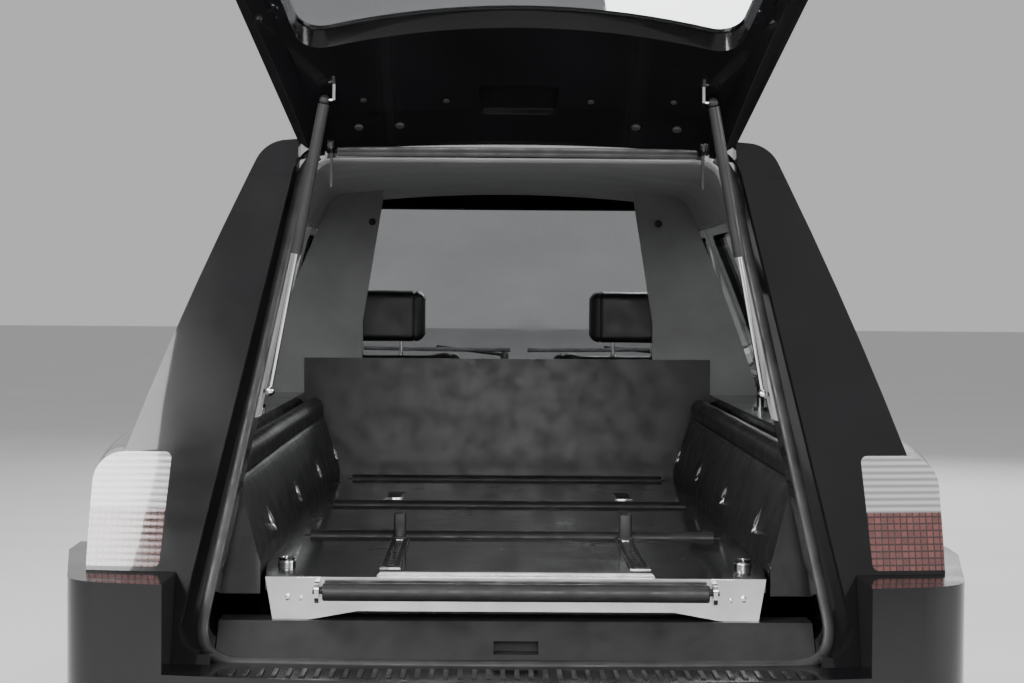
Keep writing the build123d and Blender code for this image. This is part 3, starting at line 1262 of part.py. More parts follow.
def make_hinge_brackets():
    """The body half of each hinge: a hanging strap with its pin, bolted to the roof's rear edge."""
    y, z = HINGE_Y, HINGE_Z
    seat = HINGE_SEAT_Y - SEAT_GAP
    low, front = z - 84, y + 3
    outline = [(y - 8, z + 6), (seat, z + 6), (seat, low), (front, low), (front, z - 16), (y - 8, z - 8)]
    strap = side_prism(outline, BRACKET_X)
    pin = rod((BRACKET_X[0], y, z), (ARM_X + ARM_THICK / 2 + 4, y, z), HINGE_PIN_R)
    bracket = strap + pin
    return group(bracket, mirrored(bracket))


STRUT_TOP_CLOSED = (STRUT_TOP_X,) + tail_point(STRUT_TOP_S, STRUT_TOP_DEPTH, STRUT_TOP_X)
STRUT_TOP = opened_point(*STRUT_TOP_CLOSED)
STRUT_LENGTH = (Vector(*STRUT_FOOT) - Vector(*STRUT_TOP)).length
STRUT_CLOSED_LENGTH = (Vector(*STRUT_FOOT) - Vector(*STRUT_TOP_CLOSED)).length


def along_strut(distance):
    direction = (Vector(*STRUT_FOOT) - Vector(*STRUT_TOP)).normalized()
    return tuple(Vector(*STRUT_TOP) + direction * distance)


def socketed(bar, centre, mouth):
    """Adds a ball socket to a bar, open along X towards its stud."""
    x, y, z = centre
    reach = mouth / abs(mouth) * 2
    hollow = Pos(*centre) * Rot(0, 90, 0) * Sphere(BALL_R + SEAT_GAP)
    hollow += rod((x + reach, y, z), (x + mouth, y, z), BALL_R - 0.5)
    return biggest(bar + Pos(*centre) * Rot(0, 90, 0) * Sphere(SOCKET_R) - hollow)


def make_strut_tube(side):
    """The gas strut's tube, with the socket that holds the tailgate's ball stud."""
    tube = rod(along_strut(8), along_strut(STRUT_TUBE_LENGTH), STRUT_TUBE_R)
    tube -= rod(along_strut(STRUT_BORE_START), along_strut(STRUT_TUBE_LENGTH + 1), STRUT_ROD_R + SEAT_GAP)
    tube = socketed(tube, STRUT_TOP, -30)
    return tube if side > 0 else mirrored(tube)


def make_strut_rod(side):
    """The polished rod, with its socket at the body's ball stud."""
    bar = rod(along_strut(STRUT_TUBE_LENGTH - ROD_OVERLAP), along_strut(STRUT_LENGTH - 7), STRUT_ROD_R)
    bar = socketed(bar, STRUT_FOOT, 30)
    return bar if side > 0 else mirrored(bar)


def ball_stud(length):
    """A ball on a round neck that points along X, turned in one piece."""
    neck = (BALL_R ** 2 - STUD_R ** 2) ** 0.5
    half = make_face([
        ThreePointArc((-BALL_R, 0), (0, BALL_R), (neck, STUD_R)),
        Polyline((neck, STUD_R), (length, STUD_R), (length, 0), (-BALL_R, 0)),
    ])
    return revolve(half, Axis.X)


def make_ball_studs():
    """The tailgate's ball studs, each on a small plate that stands on the inner trim."""
    x, y, z = STRUT_TOP_CLOSED
    face = TAILGATE_DEPTH + TRIM_DEPTH + SEAT_GAP
    s = STRUT_TOP_S
    places = [(s - 22, face), (s + 22, face), (s + 9, STRUT_TOP_DEPTH + 9), (s - 9, STRUT_TOP_DEPTH + 9)]
    plate = side_prism([tail_point(s, depth, x - 18) for s, depth in places], (x - 21, x - 16))
    stud = opened(plate + rod((x - 17, y, z), (x, y, z), STUD_R) + Pos(x, y, z) * Sphere(BALL_R))
    return group(stud, mirrored(stud))


def make_body_studs():
    """Ball studs for the struts' feet, in the tail pillars."""
    x, y, z = STRUT_FOOT
    edge = OPENING_TOP_HALF + OPENING_SLOPE * (1600 - z)
    stud = Pos(x, y, z) * ball_stud(edge - STUD_R * OPENING_SLOPE - SEAT_GAP - x)
    return group(stud, mirrored(stud))


def make_hinges():
    """The body's own halves of all the hinges, with the ball studs for the struts' feet."""
    door = make_door_hinge()
    bonnet = [make_bonnet_hinge(side) for side in (-1, 1)]
    return group(*door, *[mirrored(leaf) for leaf in door], *bonnet, make_hinge_brackets(), make_body_studs())


# The parts

def save_both(name, right):
    save(name + "_right", right)
    save(name + "_left", mirrored(right))


def save_body():
    save("roof", make_roof())
    save_both("side", make_side())
    save_both("fender", make_fender())
    save("cowl", make_cowl())
    save("floor_pan", make_floor())
    save("front_bumper", make_front_bumper())
    save("rear_bumper", make_rear_bumper())
    save("rear_sill", make_rear_sill())
    save("grille", make_grille())
    save("headlamps", make_headlamps())
    lamp = make_tail_lamp()
    save("tail_lamps", group(lamp, mirrored(lamp)))
    save("windscreen", make_windscreen())
    pane = side_glass(quarter_window_outline(-SEAT_GAP), 40)
    save("side_windows", group(pane, mirrored(pane)))
    save("hinges", make_hinges())


def save_doors():
    save_both("door", make_door())
    save_both("door_glass", side_glass(door_window_outline(-SEAT_GAP), 30))
    save_both("mirror", make_mirror())
    save("bonnet", make_bonnet())


def save_load_space():
    save("deck", make_deck())
    save("deck_rollers", make_deck_rollers())
    save("deck_fittings", group(make_tracks(), make_bier_pins(), make_threshold()))
    save("sill_plate", group(make_sill_plate(), make_roller_brackets()))
    save("sill_roller", make_sill_roller())
    save("side_trims", make_side_trims())
    save("side_ledges", make_side_ledges())
    save("wreath_rails", make_wreath_rails())
    save("headlining", group(make_headlining(), make_wings()))
    save("partition", make_partition())


def save_cab():
    save("front_seats", make_seats())
    save("dashboard", make_dashboard())
    save("steering_wheel", make_steering_wheel())


def save_running_gear():
    tyre, rim = wheel_solids()
    for name, axle_y in (("front", FRONT_AXLE_Y), ("rear", REAR_AXLE_Y)):
        for side_name, side in (("right", 1), ("left", -1)):
            save("tyre_" + name + "_" + side_name, place_wheel(tyre, side, axle_y))
            save("rim_" + name + "_" + side_name, place_wheel(rim, side, axle_y))
    save_both("knuckle", make_knuckle())
    save("front_suspension", make_front_suspension())
    save("wheel_liners", make_wheel_liners())
    save("rear_axle", group(make_rear_axle(), make_propshaft()))
    save("engine_block", make_engine())
    save("fuel_tank", make_fuel_tank())
    save("exhaust", make_exhaust())


def save_tailgate():
    save("tailgate", opened(make_tailgate()))
    save("tailgate_glass", opened(make_tailgate_glass()))
    save("tailgate_arms", group(make_tailgate_arms(), make_ball_studs()))
    for side_name, side in (("right", 1), ("left", -1)):
        save("strut_tube_" + side_name, make_strut_tube(side))
        save("strut_rod_" + side_name, make_strut_rod(side))


save_body()
save_doors()
save_load_space()
save_cab()
save_running_gear()
save_tailgate()
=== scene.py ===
import json
import math

import bmesh
import bpy
from mathutils import Matrix, Vector, noise


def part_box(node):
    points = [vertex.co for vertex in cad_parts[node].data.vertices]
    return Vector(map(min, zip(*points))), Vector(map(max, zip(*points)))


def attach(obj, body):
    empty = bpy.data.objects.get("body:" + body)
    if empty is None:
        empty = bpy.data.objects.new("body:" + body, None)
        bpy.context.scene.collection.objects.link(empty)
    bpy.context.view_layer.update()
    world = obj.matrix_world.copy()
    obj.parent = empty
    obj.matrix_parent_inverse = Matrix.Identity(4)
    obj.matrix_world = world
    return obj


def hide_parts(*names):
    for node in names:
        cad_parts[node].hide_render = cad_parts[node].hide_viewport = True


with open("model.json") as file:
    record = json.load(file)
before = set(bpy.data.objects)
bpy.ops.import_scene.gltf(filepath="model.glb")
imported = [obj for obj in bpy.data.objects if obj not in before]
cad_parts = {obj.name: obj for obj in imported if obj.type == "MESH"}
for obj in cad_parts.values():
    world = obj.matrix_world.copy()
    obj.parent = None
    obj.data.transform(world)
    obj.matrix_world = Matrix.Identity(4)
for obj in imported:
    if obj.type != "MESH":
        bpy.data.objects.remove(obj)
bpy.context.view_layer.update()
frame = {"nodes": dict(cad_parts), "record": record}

# The sign of X and the name of each side
SIDES = ((-1, "left"), (1, "right"))

# Sizes of the vehicle, in metres, as the solids have them
REAR_AXLE_Y = -1.452
FRONT_AXLE_Y = 1.998
WHEEL_R = 0.330
TYRE_HALF = 0.1125
RIM_R = 0.228
WHEEL_X = 0.775
DECK_Z = 0.728
DECK_REAR_Y = -2.288
DECK_FRONT_Y = 0.058
DECK_HALF = 0.490
PANEL_WIDTH = 0.104
KNOB = (0.450, DECK_REAR_Y + 0.180)
TRACK_X = 0.245
TRACK_Y = (DECK_REAR_Y + 0.136, DECK_REAR_Y + 0.679)
STOP_Y = DECK_REAR_Y + 0.6135
BUMPER_REAR_Y = -2.602
BUMPER_STEP_Z = 0.584
TRIM_TOP_Z = 0.955
TRIM_REAR_Y = DECK_REAR_Y + 0.060
OPENING_Z = (0.593, 1.539)
OPENING_TOP_HALF = 0.402
OPENING_TOP_HALF_Z = 1.600
OPENING_SLOPE = 0.18
OPENING_CORNER = 0.062
TAIL_TOP = (REAR_AXLE_Y - 0.611, 1.552)
TAIL_RAKE = math.radians(67.7)
TAIL_BOW = 0.095
TAIL_WALL = 0.120
TAIL_NORMAL = (0, -math.sin(TAIL_RAKE), math.cos(TAIL_RAKE))
HINGE = (REAR_AXLE_Y - 0.575, 1.562)
ARM_X = 0.379
ARM_ROOM = 0.017
TAILGATE_OPEN = math.radians(100.7)
SEAT_X = 0.380
SEAT_BACK_Y = 0.208
DOOR_REAR_Y = 0.258
HANDLE_Z = 0.835
LENS_SPLIT_Z = (0.856, 0.860)

# The camera, fitted to the photograph, with its values in pixels of that picture
PHOTO_SIZE = (1024, 683)
SENSOR_WIDTH = 36
CAMERA = (-0.053, -6.452, 1.27)
CAMERA_ROLL = math.radians(-0.4)
FOCAL_PIXELS = 2204
HORIZON = 292
VANISHING_X = 490


# Mesh helpers

def add_object(name, shape, body, slot, angle=32):
    """A shape as a smooth mesh that rides on a body, with edges sharp past an angle."""
    verts, faces = shape
    mesh = bpy.data.meshes.new(name)
    mesh.from_pydata([tuple(v) for v in verts], [], [tuple(f) for f in faces])
    work = bmesh.new()
    work.from_mesh(mesh)
    bmesh.ops.recalc_face_normals(work, faces=work.faces)
    work.to_mesh(mesh)
    work.free()
    for polygon in mesh.polygons:
        polygon.use_smooth = True
    mesh.set_sharp_from_angle(angle=math.radians(angle))
    mesh.materials.append(MATERIALS[slot])
    piece = bpy.data.objects.new(name, mesh)
    bpy.context.scene.collection.objects.link(piece)
    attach(piece, body)
    return piece


def joined(*shapes):
    """Several (verts, faces) shapes as one."""
    verts, faces = [], []
    for shape_verts, shape_faces in shapes:
        start = len(verts)
        verts.extend(shape_verts)
        faces.extend([tuple(i + start for i in face) for face in shape_faces])
    return verts, faces


def moved(shape, matrix):
    return [matrix @ Vector(v) for v in shape[0]], shape[1]


def mirrored(shape):
    return [Vector((-v[0], v[1], v[2])) for v in shape[0]], [tuple(reversed(f)) for f in shape[1]]


def opened(shape):
    """Turns a shape drawn on the closed tailgate to the raised position."""
    pivot = Vector((0, HINGE[0], HINGE[1]))
    turn = Matrix.Translation(pivot) @ Matrix.Rotation(-TAILGATE_OPEN, 4, "X") @ Matrix.Translation(-pivot)
    return moved(shape, turn)


def ring_faces(rows, columns, closed=False):
    """Faces between closed rings of points, and from the last ring to the first where closed."""
    faces = []
    for i in range(rows if closed else rows - 1):
        for j in range(columns):
            a, b = i * columns + j, i * columns + (j + 1) % columns
            c, d = ((i + 1) % rows) * columns + (j + 1) % columns, ((i + 1) % rows) * columns + j
            faces.append((a, b, c, d))
    return faces


def tube_faces(rows, columns):
    """The faces of a tube of closed rings, with a cap at each end."""
    last = (rows - 1) * columns
    caps = [tuple(reversed(range(columns))), tuple(range(last, last + columns))]
    return ring_faces(rows, columns) + caps


def swept(path, section, facing, closed=False):
    """A section of (out, up) points carried along a path, with up turned towards facing."""
    count, verts = len(path), []
    for i, point in enumerate(path):
        before = path[(i - 1) % count] if closed or i > 0 else point
        after = path[(i + 1) % count] if closed or i < count - 1 else point
        along = (Vector(after) - Vector(before)).normalized()
        up = Vector(facing).normalized()
        out = along.cross(up).normalized()
        up = out.cross(along).normalized()
        verts.extend([Vector(point) + out * u + up * v for u, v in section])
    if closed:
        return verts, ring_faces(count, len(section), closed=True)
    return verts, tube_faces(count, len(section))


def lathe(profile, centre, axis, steps=32):
    """A profile of (radius, height) turned about an axis through centre."""
    axis = Vector(axis).normalized()
    turn = axis.to_track_quat("Z", "Y").to_matrix()
    verts = []
    for radius, height in profile:
        for i in range(steps):
            angle = 2 * math.pi * i / steps
            spot = Vector((radius * math.cos(angle), radius * math.sin(angle), height))
            verts.append(Vector(centre) + turn @ spot)
    return verts, tube_faces(len(profile), steps)


def soft_block(low, high, bevel, steps=3):
    """A block with rounded edges."""
    work = bmesh.new()
    bmesh.ops.create_cube(work, size=1)
    for vert in work.verts:
        vert.co = Vector([low[i] if vert.co[i] < 0 else high[i] for i in range(3)])
    bmesh.ops.bevel(work, geom=work.edges[:], offset=bevel, segments=steps, profile=0.5, affect="EDGES")
    shape = [v.co.copy() for v in work.verts], [tuple(v.index for v in f.verts) for f in work.faces]
    work.free()
    return shape


def round_points(points, radius, steps=6):
    """Rounds the corners of a closed outline of 2-D points."""
    result = []
    for i, corner in enumerate(points):
        corner = Vector(corner)
        before = (Vector(points[i - 1]) - corner).normalized()
        after = (Vector(points[(i + 1) % len(points)]) - corner).normalized()
        reach = radius / math.tan(before.angle(after) / 2)
        start, end = corner + before * reach, corner + after * reach
        for k in range(steps + 1):
            t = k / steps
            result.append(start * (1 - t) ** 2 + corner * 2 * t * (1 - t) + end * t ** 2)
    return result


def dense(points, step):
    """More points along a closed run, so that a strip can follow a curved surface."""
    result = []
    for i in range(len(points)):
        a, b = Vector(points[i]), Vector(points[(i + 1) % len(points)])
        pieces = max(1, int((b - a).length / step))
        result.extend([a.lerp(b, k / pieces) for k in range(pieces)])
    return result


def tail_place(x, z, depth):
    """A point at height z, depth inside the tail surface, which curves forward by TAIL_BOW at x = 1."""
    radius = (1 + TAIL_BOW ** 2) / (2 * TAIL_BOW)
    bow = radius - math.sqrt(radius ** 2 - x ** 2)
    s = (TAIL_TOP[1] - z - depth * math.cos(TAIL_RAKE)) / math.sin(TAIL_RAKE)
    return Vector((x, TAIL_TOP[0] + bow - s * math.cos(TAIL_RAKE) + depth * math.sin(TAIL_RAKE), z))


def hit(node, start, direction):
    """Where a ray meets a node's surface, with the surface's direction there."""
    direction = Vector(direction)
    found, place, normal, _ = frame["nodes"][node].ray_cast(Vector(start), direction.normalized())
    if not found:
        raise ValueError("no surface of " + node + " there")
    if normal.dot(direction) > 0:
        normal = -normal
    return place, normal


def through_pixel(node, x, y):
    """The place on a node's surface that shows at a pixel of the photograph."""
    direction = ((x - VANISHING_X) / FOCAL_PIXELS, 1, (HORIZON - y) / FOCAL_PIXELS)
    return hit(node, CAMERA, direction)


def outer_rim(node, direction):
    """The longest edge round the faces of a node that look in a direction, as a closed run of points."""
    mesh = frame["nodes"][node].data
    work = bmesh.new()
    work.from_mesh(mesh)
    bmesh.ops.remove_doubles(work, verts=work.verts[:], dist=1e-7)
    work.faces.ensure_lookup_table()
    direction = Vector(direction).normalized()
    least_cosine = 0.45
    inside = {f.index for f in work.faces if f.normal.dot(direction) > least_cosine}
    border = [e for e in work.edges if sum(f.index in inside for f in e.link_faces) == 1]
    links = {}
    for edge in border:
        a, b = edge.verts
        links.setdefault(a, []).append(b)
        links.setdefault(b, []).append(a)
    runs, seen = [], set()
    for start in links:
        if start in seen:
            continue
        run, last, here = [], None, start
        while here not in seen:
            seen.add(here)
            run.append(here.co.copy())
            following = [v for v in links[here] if v is not last]
            last, here = here, following[0]
        runs.append(run)
    work.free()
    return max(runs, key=lambda run: sum((run[i] - run[i - 1]).length for i in range(len(run))))


# Materials

def new_material(name, colour, roughness, metallic=0.0, **values):
    """A material with its node tree and shader; values sets other inputs by name."""
    material = bpy.data.materials.new(name)
    material.use_nodes = True
    shader = material.node_tree.nodes["Principled BSDF"]
    shader.inputs["Base Color"].default_value = (*colour, 1)
    shader.inputs["Roughness"].default_value = roughness
    shader.inputs["Metallic"].default_value = metallic
    for key, value in values.items():
        shader.inputs[key.replace("_", " ")].default_value = value
    return material, material.node_tree, shader


def object_place(tree, scale=(1, 1, 1)):
    coords = tree.nodes.new("ShaderNodeTexCoord")
    mapping = tree.nodes.new("ShaderNodeMapping")
    mapping.inputs["Scale"].default_value = scale
    tree.links.new(coords.outputs["Object"], mapping.inputs["Vector"])
    return mapping.outputs["Vector"]


def add_noise(tree, scale, detail=4, stretch=(1, 1, 1)):
    texture = tree.nodes.new("ShaderNodeTexNoise")
    texture.inputs["Scale"].default_value = scale
    texture.inputs["Detail"].default_value = detail
    tree.links.new(object_place(tree, stretch), texture.inputs["Vector"])
    return texture.outputs["Fac"]


def add_cells(tree, scale, feature="F1", stretch=(1, 1, 1)):
    texture = tree.nodes.new("ShaderNodeTexVoronoi")
    texture.feature = feature
    texture.inputs["Scale"].default_value = scale
    tree.links.new(object_place(tree, stretch), texture.inputs["Vector"])
    return texture.outputs["Distance"]


def mapped(tree, value, low, high, new_low, new_high):
    node = tree.nodes.new("ShaderNodeMapRange")
    for key, number in zip(("From Min", "From Max", "To Min", "To Max"), (low, high, new_low, new_high)):
        node.inputs[key].default_value = number
    tree.links.new(value, node.inputs["Value"])
    return node.outputs["Result"]


def multiplied(tree, first, second):
    node = tree.nodes.new("ShaderNodeMath")
    node.operation = "MULTIPLY"
    tree.links.new(first, node.inputs[0])
    tree.links.new(second, node.inputs[1])
    return node.outputs["Value"]


def mixed(tree, factor, first, second):
    """A colour between two, by a factor from 0 to 1."""
    node = tree.nodes.new("ShaderNodeMix")
    node.data_type = "RGBA"
    tree.links.new(factor, node.inputs["Factor"])
    for socket, colour in ((node.inputs["A"], first), (node.inputs["B"], second)):
        if isinstance(colour, tuple):
            socket.default_value = (*colour, 1)
        else:
            tree.links.new(colour, socket)
    return node.outputs["Result"]


def set_bump(tree, shader, heights):
    """Chained bumps from (height, strength, distance) entries."""
    normal = None
    for height, strength, distance in heights:
        bump = tree.nodes.new("ShaderNodeBump")
        bump.inputs["Strength"].default_value = strength
        bump.inputs["Distance"].default_value = distance
        tree.links.new(height, bump.inputs["Height"])
        if normal:
            tree.links.new(normal, bump.inputs["Normal"])
        normal = bump.outputs["Normal"]
    tree.links.new(normal, shader.inputs["Normal"])


def low_down(tree, top, bottom):
    """1 near the ground and 0 above a height, from the place on the vehicle."""
    split = tree.nodes.new("ShaderNodeSeparateXYZ")
    tree.links.new(object_place(tree), split.inputs["Vector"])
    return mapped(tree, split.outputs["Z"], bottom, top, 1, 0)


def finish_surface(parts, light, dark, rough, scale, bumps=(), dust=None):
    """Colour and roughness that vary with noise, bumps, and road dust as ((top, bottom), colour)."""
    material, tree, shader = parts
    spots = add_noise(tree, scale)
    colour = mixed(tree, mapped(tree, spots, 0.35, 0.65, 0, 1), dark, light)
    if dust:
        patches = mapped(tree, add_noise(tree, 9, 6), 0.35, 0.75, 0.1, 1)
        amount = multiplied(tree, low_down(tree, *dust[0]), patches)
        colour = mixed(tree, multiplied(tree, amount, amount), colour, dust[1])
    tree.links.new(colour, shader.inputs["Base Color"])
    wear = mapped(tree, add_noise(tree, scale * 1.7, 5), 0.3, 0.7, *rough)
    tree.links.new(wear, shader.inputs["Roughness"])
    if bumps:
        set_bump(tree, shader, [(make(tree), strength, distance) for make, strength, distance in bumps])
    return material


def noise_height(scale, detail=4, stretch=(1, 1, 1)):
    return lambda tree: add_noise(tree, scale, detail, stretch)


def cell_height(scale, feature="F1", stretch=(1, 1, 1)):
    return lambda tree: add_cells(tree, scale, feature, stretch)


def black_paint():
    parts = new_material("black_paint", (0.006, 0.006, 0.007), 0.1, Coat_Weight=0.55, Coat_Roughness=0.02,
                         Specular_IOR_Level=0.2)
    return finish_surface(parts, (0.007, 0.007, 0.008), (0.0045, 0.0045, 0.005), (0.10, 0.24), 4,
                          [(noise_height(700, 2), 0.06, 0.0002), (noise_height(60, 2), 0.03, 0.0005)],
                          ((0.62, 0.18), (0.045, 0.043, 0.04)))


def dark_plastic():
    return finish_surface(new_material("dark_plastic", (0.02, 0.02, 0.02), 0.5), (0.022, 0.022, 0.022),
                          (0.013, 0.013, 0.013), (0.42, 0.62), 18, [(cell_height(900), 0.35, 0.0004)],
                          ((0.5, 0.15), (0.05, 0.048, 0.044)))


def bright_metal():
    return finish_surface(new_material("bright_metal", (0.8, 0.8, 0.8), 0.08, 1.0), (0.86, 0.86, 0.86),
                          (0.72, 0.72, 0.73), (0.05, 0.17), 14, [(noise_height(260, 3), 0.05, 0.0003)])


def polished_steel():
    return finish_surface(new_material("polished_steel", (0.7, 0.7, 0.7), 0.16, 1.0), (0.78, 0.78, 0.78),
                          (0.60, 0.60, 0.61), (0.09, 0.24), 8,
                          [(noise_height(40, 8, (1, 60, 60)), 0.10, 0.0003),
                           (noise_height(5, 2), 0.12, 0.002)])


def tinted_glass():
    material, tree, shader = new_material("dark_glass", (0.42, 0.43, 0.44), 0.02, Transmission_Weight=1.0,
                                          IOR=1.48)
    dirt = mapped(tree, add_noise(tree, 6, 7), 0.45, 0.8, 0.01, 0.09)
    tree.links.new(dirt, shader.inputs["Roughness"])
    tone = mapped(tree, add_noise(tree, 3, 5), 0.3, 0.7, 0, 1)
    tree.links.new(mixed(tree, tone, (0.40, 0.41, 0.42), (0.46, 0.47, 0.48)), shader.inputs["Base Color"])
    return material


def deck_laminate():
    parts = new_material("deck_laminate", (0.008, 0.008, 0.008), 0.1, Coat_Weight=0.6, Coat_Roughness=0.06)
    return finish_surface(parts, (0.011, 0.011, 0.011), (0.006, 0.006, 0.006), (0.10, 0.28), 7,
                          [(noise_height(22, 9, (1, 0.06, 1)), 0.08, 0.0005),
                           (noise_height(420, 3), 0.06, 0.0002)])


def black_leather():
    return finish_surface(new_material("black_leather", (0.018, 0.018, 0.018), 0.4, Specular_IOR_Level=0.6),
                          (0.022, 0.022, 0.022), (0.012, 0.012, 0.012), (0.30, 0.48), 12,
                          [(cell_height(520, "DISTANCE_TO_EDGE"), 0.35, 0.0006),
                           (noise_height(24, 3), 0.08, 0.002)])


def pale_lining():
    return finish_surface(new_material("pale_lining", (0.36, 0.36, 0.355), 0.9, Sheen_Weight=0.25),
                          (0.40, 0.40, 0.395), (0.31, 0.31, 0.305), (0.82, 0.97), 5,
                          [(noise_height(1300, 3), 0.5, 0.0006), (noise_height(90, 3), 0.12, 0.001)])


def tyre_rubber():
    return finish_surface(new_material("tyre_rubber", (0.018, 0.018, 0.018), 0.7), (0.024, 0.023, 0.022),
                          (0.012, 0.012, 0.012), (0.58, 0.85), 16,
                          [(noise_height(320, 4), 0.25, 0.0006)], ((0.45, 0.0), (0.06, 0.056, 0.05)))


def roller_rubber():
    return finish_surface(new_material("roller_rubber", (0.03, 0.03, 0.03), 0.5), (0.036, 0.036, 0.036),
                          (0.02, 0.02, 0.02), (0.32, 0.6), 22,
                          [(noise_height(180, 4, (0.2, 1, 1)), 0.2, 0.0005)])


def alloy():
    return finish_surface(new_material("alloy", (0.5, 0.5, 0.51), 0.3, 1.0), (0.56, 0.56, 0.57),
                          (0.38, 0.38, 0.385), (0.22, 0.42), 10, [(noise_height(500, 2), 0.08, 0.0003)],
                          ((0.6, 0.05), (0.12, 0.11, 0.10)))


def cast_metal():
    return finish_surface(new_material("cast_metal", (0.14, 0.135, 0.13), 0.6, 0.7), (0.18, 0.175, 0.17),
                          (0.07, 0.066, 0.062), (0.45, 0.8), 20, [(noise_height(240, 5), 0.6, 0.0012)],
                          ((0.5, 0.1), (0.09, 0.08, 0.07)))


def chassis_paint():
    return finish_surface(new_material("chassis_paint", (0.018, 0.018, 0.018), 0.45), (0.022, 0.022, 0.022),
                          (0.012, 0.012, 0.012), (0.3, 0.6), 11, [(noise_height(150, 5), 0.25, 0.0008)],
                          ((0.42, 0.1), (0.075, 0.07, 0.062)))


def lamp_lens():
    """Smoked with fine flutes above, where the pale bands along the flutes are painted streaked reflection,
    and dark red with small square cells below.
    """
    parts = new_material("lamp_lens", (0.2, 0.2, 0.2), 0.08, Coat_Weight=1.0, Coat_Roughness=0.02,
                         Specular_IOR_Level=0.8)
    material, tree, shader = parts
    place = object_place(tree)
    split = tree.nodes.new("ShaderNodeSeparateXYZ")
    tree.links.new(place, split.inputs["Vector"])
    lower = mapped(tree, split.outputs["Z"], *LENS_SPLIT_Z, 1, 0)
    flutes_and_painted_streaks = tree.nodes.new("ShaderNodeTexWave")
    flutes_and_painted_streaks.inputs["Scale"].default_value = 26
    flutes_and_painted_streaks.bands_direction = "Z"
    tree.links.new(place, flutes_and_painted_streaks.inputs["Vector"])
    grid = tree.nodes.new("ShaderNodeTexBrick")
    grid.offset = 0
    cell, joint = 0.0125, 0.0016
    for key, value in (("Scale", 1), ("Brick Width", cell), ("Row Height", cell), ("Mortar Size", joint)):
        grid.inputs[key].default_value = value
    swap = tree.nodes.new("ShaderNodeCombineXYZ")
    tree.links.new(split.outputs["X"], swap.inputs["X"])
    tree.links.new(split.outputs["Z"], swap.inputs["Y"])
    tree.links.new(swap.outputs["Vector"], grid.inputs["Vector"])
    grid.inputs["Color1"].default_value = (0.16, 0.05, 0.045, 1)
    grid.inputs["Color2"].default_value = (0.10, 0.03, 0.028, 1)
    grid.inputs["Mortar"].default_value = (0.03, 0.01, 0.01, 1)
    # Upper lens: smoked grey, with pale bands along the flutes painted in as streaked reflection
    smoke_and_painted_streaks = mixed(tree, flutes_and_painted_streaks.outputs["Fac"], (0.20, 0.20, 0.205), (0.44, 0.44, 0.45))
    tree.links.new(mixed(tree, lower, smoke_and_painted_streaks, grid.outputs["Color"]), shader.inputs["Base Color"])
    tree.links.new(mapped(tree, add_noise(tree, 9, 5), 0.3, 0.7, 0.05, 0.16), shader.inputs["Roughness"])
    set_bump(tree, shader, [(grid.outputs["Fac"], 0.4, -0.0006), (flutes_and_painted_streaks.outputs["Fac"], 0.2, 0.0006)])
    return material


def headlamp_glass():
    material, tree, shader = new_material("headlamp", (0.86, 0.87, 0.88), 0.03, Transmission_Weight=0.85,
                                          IOR=1.45)
    haze = mapped(tree, add_noise(tree, 8, 5), 0.35, 0.75, 0.02, 0.12)
    tree.links.new(haze, shader.inputs["Roughness"])
    tone = mapped(tree, add_noise(tree, 5, 4), 0.3, 0.7, 0, 1)
    tree.links.new(mixed(tree, tone, (0.80, 0.81, 0.82), (0.90, 0.91, 0.92)), shader.inputs["Base Color"])
    return material


MATERIALS = {
    "black_paint": black_paint(), "dark_plastic": dark_plastic(), "bright_metal": bright_metal(),
    "polished_steel": polished_steel(), "dark_glass": tinted_glass(), "lamp_lens": lamp_lens(),
    "headlamp": headlamp_glass(), "deck_laminate": deck_laminate(), "black_leather": black_leather(),
    "pale_lining": pale_lining(), "tyre_rubber": tyre_rubber(), "roller_rubber": roller_rubber(),
    "alloy": alloy(), "cast_metal": cast_metal(), "chassis_paint": chassis_paint(),
}


def dress_nodes():
    """Gives each solid the material of its slot."""
    for part in frame["record"]["subparts"]:
        node = frame["nodes"][part["node"]]
        node.data.materials.clear()
        node.data.materials.append(MATERIALS[part["material_slot"]])


# Camera, light and floor

def add_camera():
    data = bpy.data.cameras.new("camera")
    data.sensor_width = SENSOR_WIDTH
    data.lens = FOCAL_PIXELS / PHOTO_SIZE[0] * SENSOR_WIDTH
    camera = bpy.data.objects.new("camera", data)
    bpy.context.scene.collection.objects.link(camera)
    camera.location = CAMERA
    pitch = math.atan((PHOTO_SIZE[1] / 2 - HORIZON) / FOCAL_PIXELS)
    yaw = math.atan((PHOTO_SIZE[0] / 2 - VANISHING_X) / FOCAL_PIXELS)
    camera.rotation_euler = (math.pi / 2 - pitch, CAMERA_ROLL, -yaw)
    bpy.context.scene.camera = camera


def add_lamp(name, place, target, size, power):
    data = bpy.data.lights.new(name, "AREA")
    data.energy = power
    data.shape = "RECTANGLE"
    data.size, data.size_y = size
    lamp = bpy.data.objects.new(name, data)
    bpy.context.scene.collection.objects.link(lamp)
    lamp.location = place
    lamp.rotation_euler = (Vector(target) - Vector(place)).to_track_quat("-Z", "Y").to_euler()


def add_world():
    """A plain white surround, a little brighter where it is seen or mirrored than as light."""
    world = bpy.data.worlds.new("studio")
    bpy.context.scene.world = world
    world.use_nodes = True
    tree = world.node_tree
    path = tree.nodes.new("ShaderNodeLightPath")
    first = tree.nodes.new("ShaderNodeMath")
    second = tree.nodes.new("ShaderNodeMath")
    first.operation = second.operation = "MAXIMUM"
    as_light, as_seen = 0.42, 0.55
    tree.links.new(path.outputs["Is Camera Ray"], first.inputs[0])
    tree.links.new(path.outputs["Is Glossy Ray"], first.inputs[1])
    tree.links.new(first.outputs["Value"], second.inputs[0])
    tree.links.new(path.outputs["Is Transmission Ray"], second.inputs[1])
    strength = mapped(tree, second.outputs["Value"], 0, 1, as_light, as_seen)
    background = tree.nodes["Background"]
    background.inputs["Color"].default_value = (1, 1, 1, 1)
    tree.links.new(strength, background.inputs["Strength"])


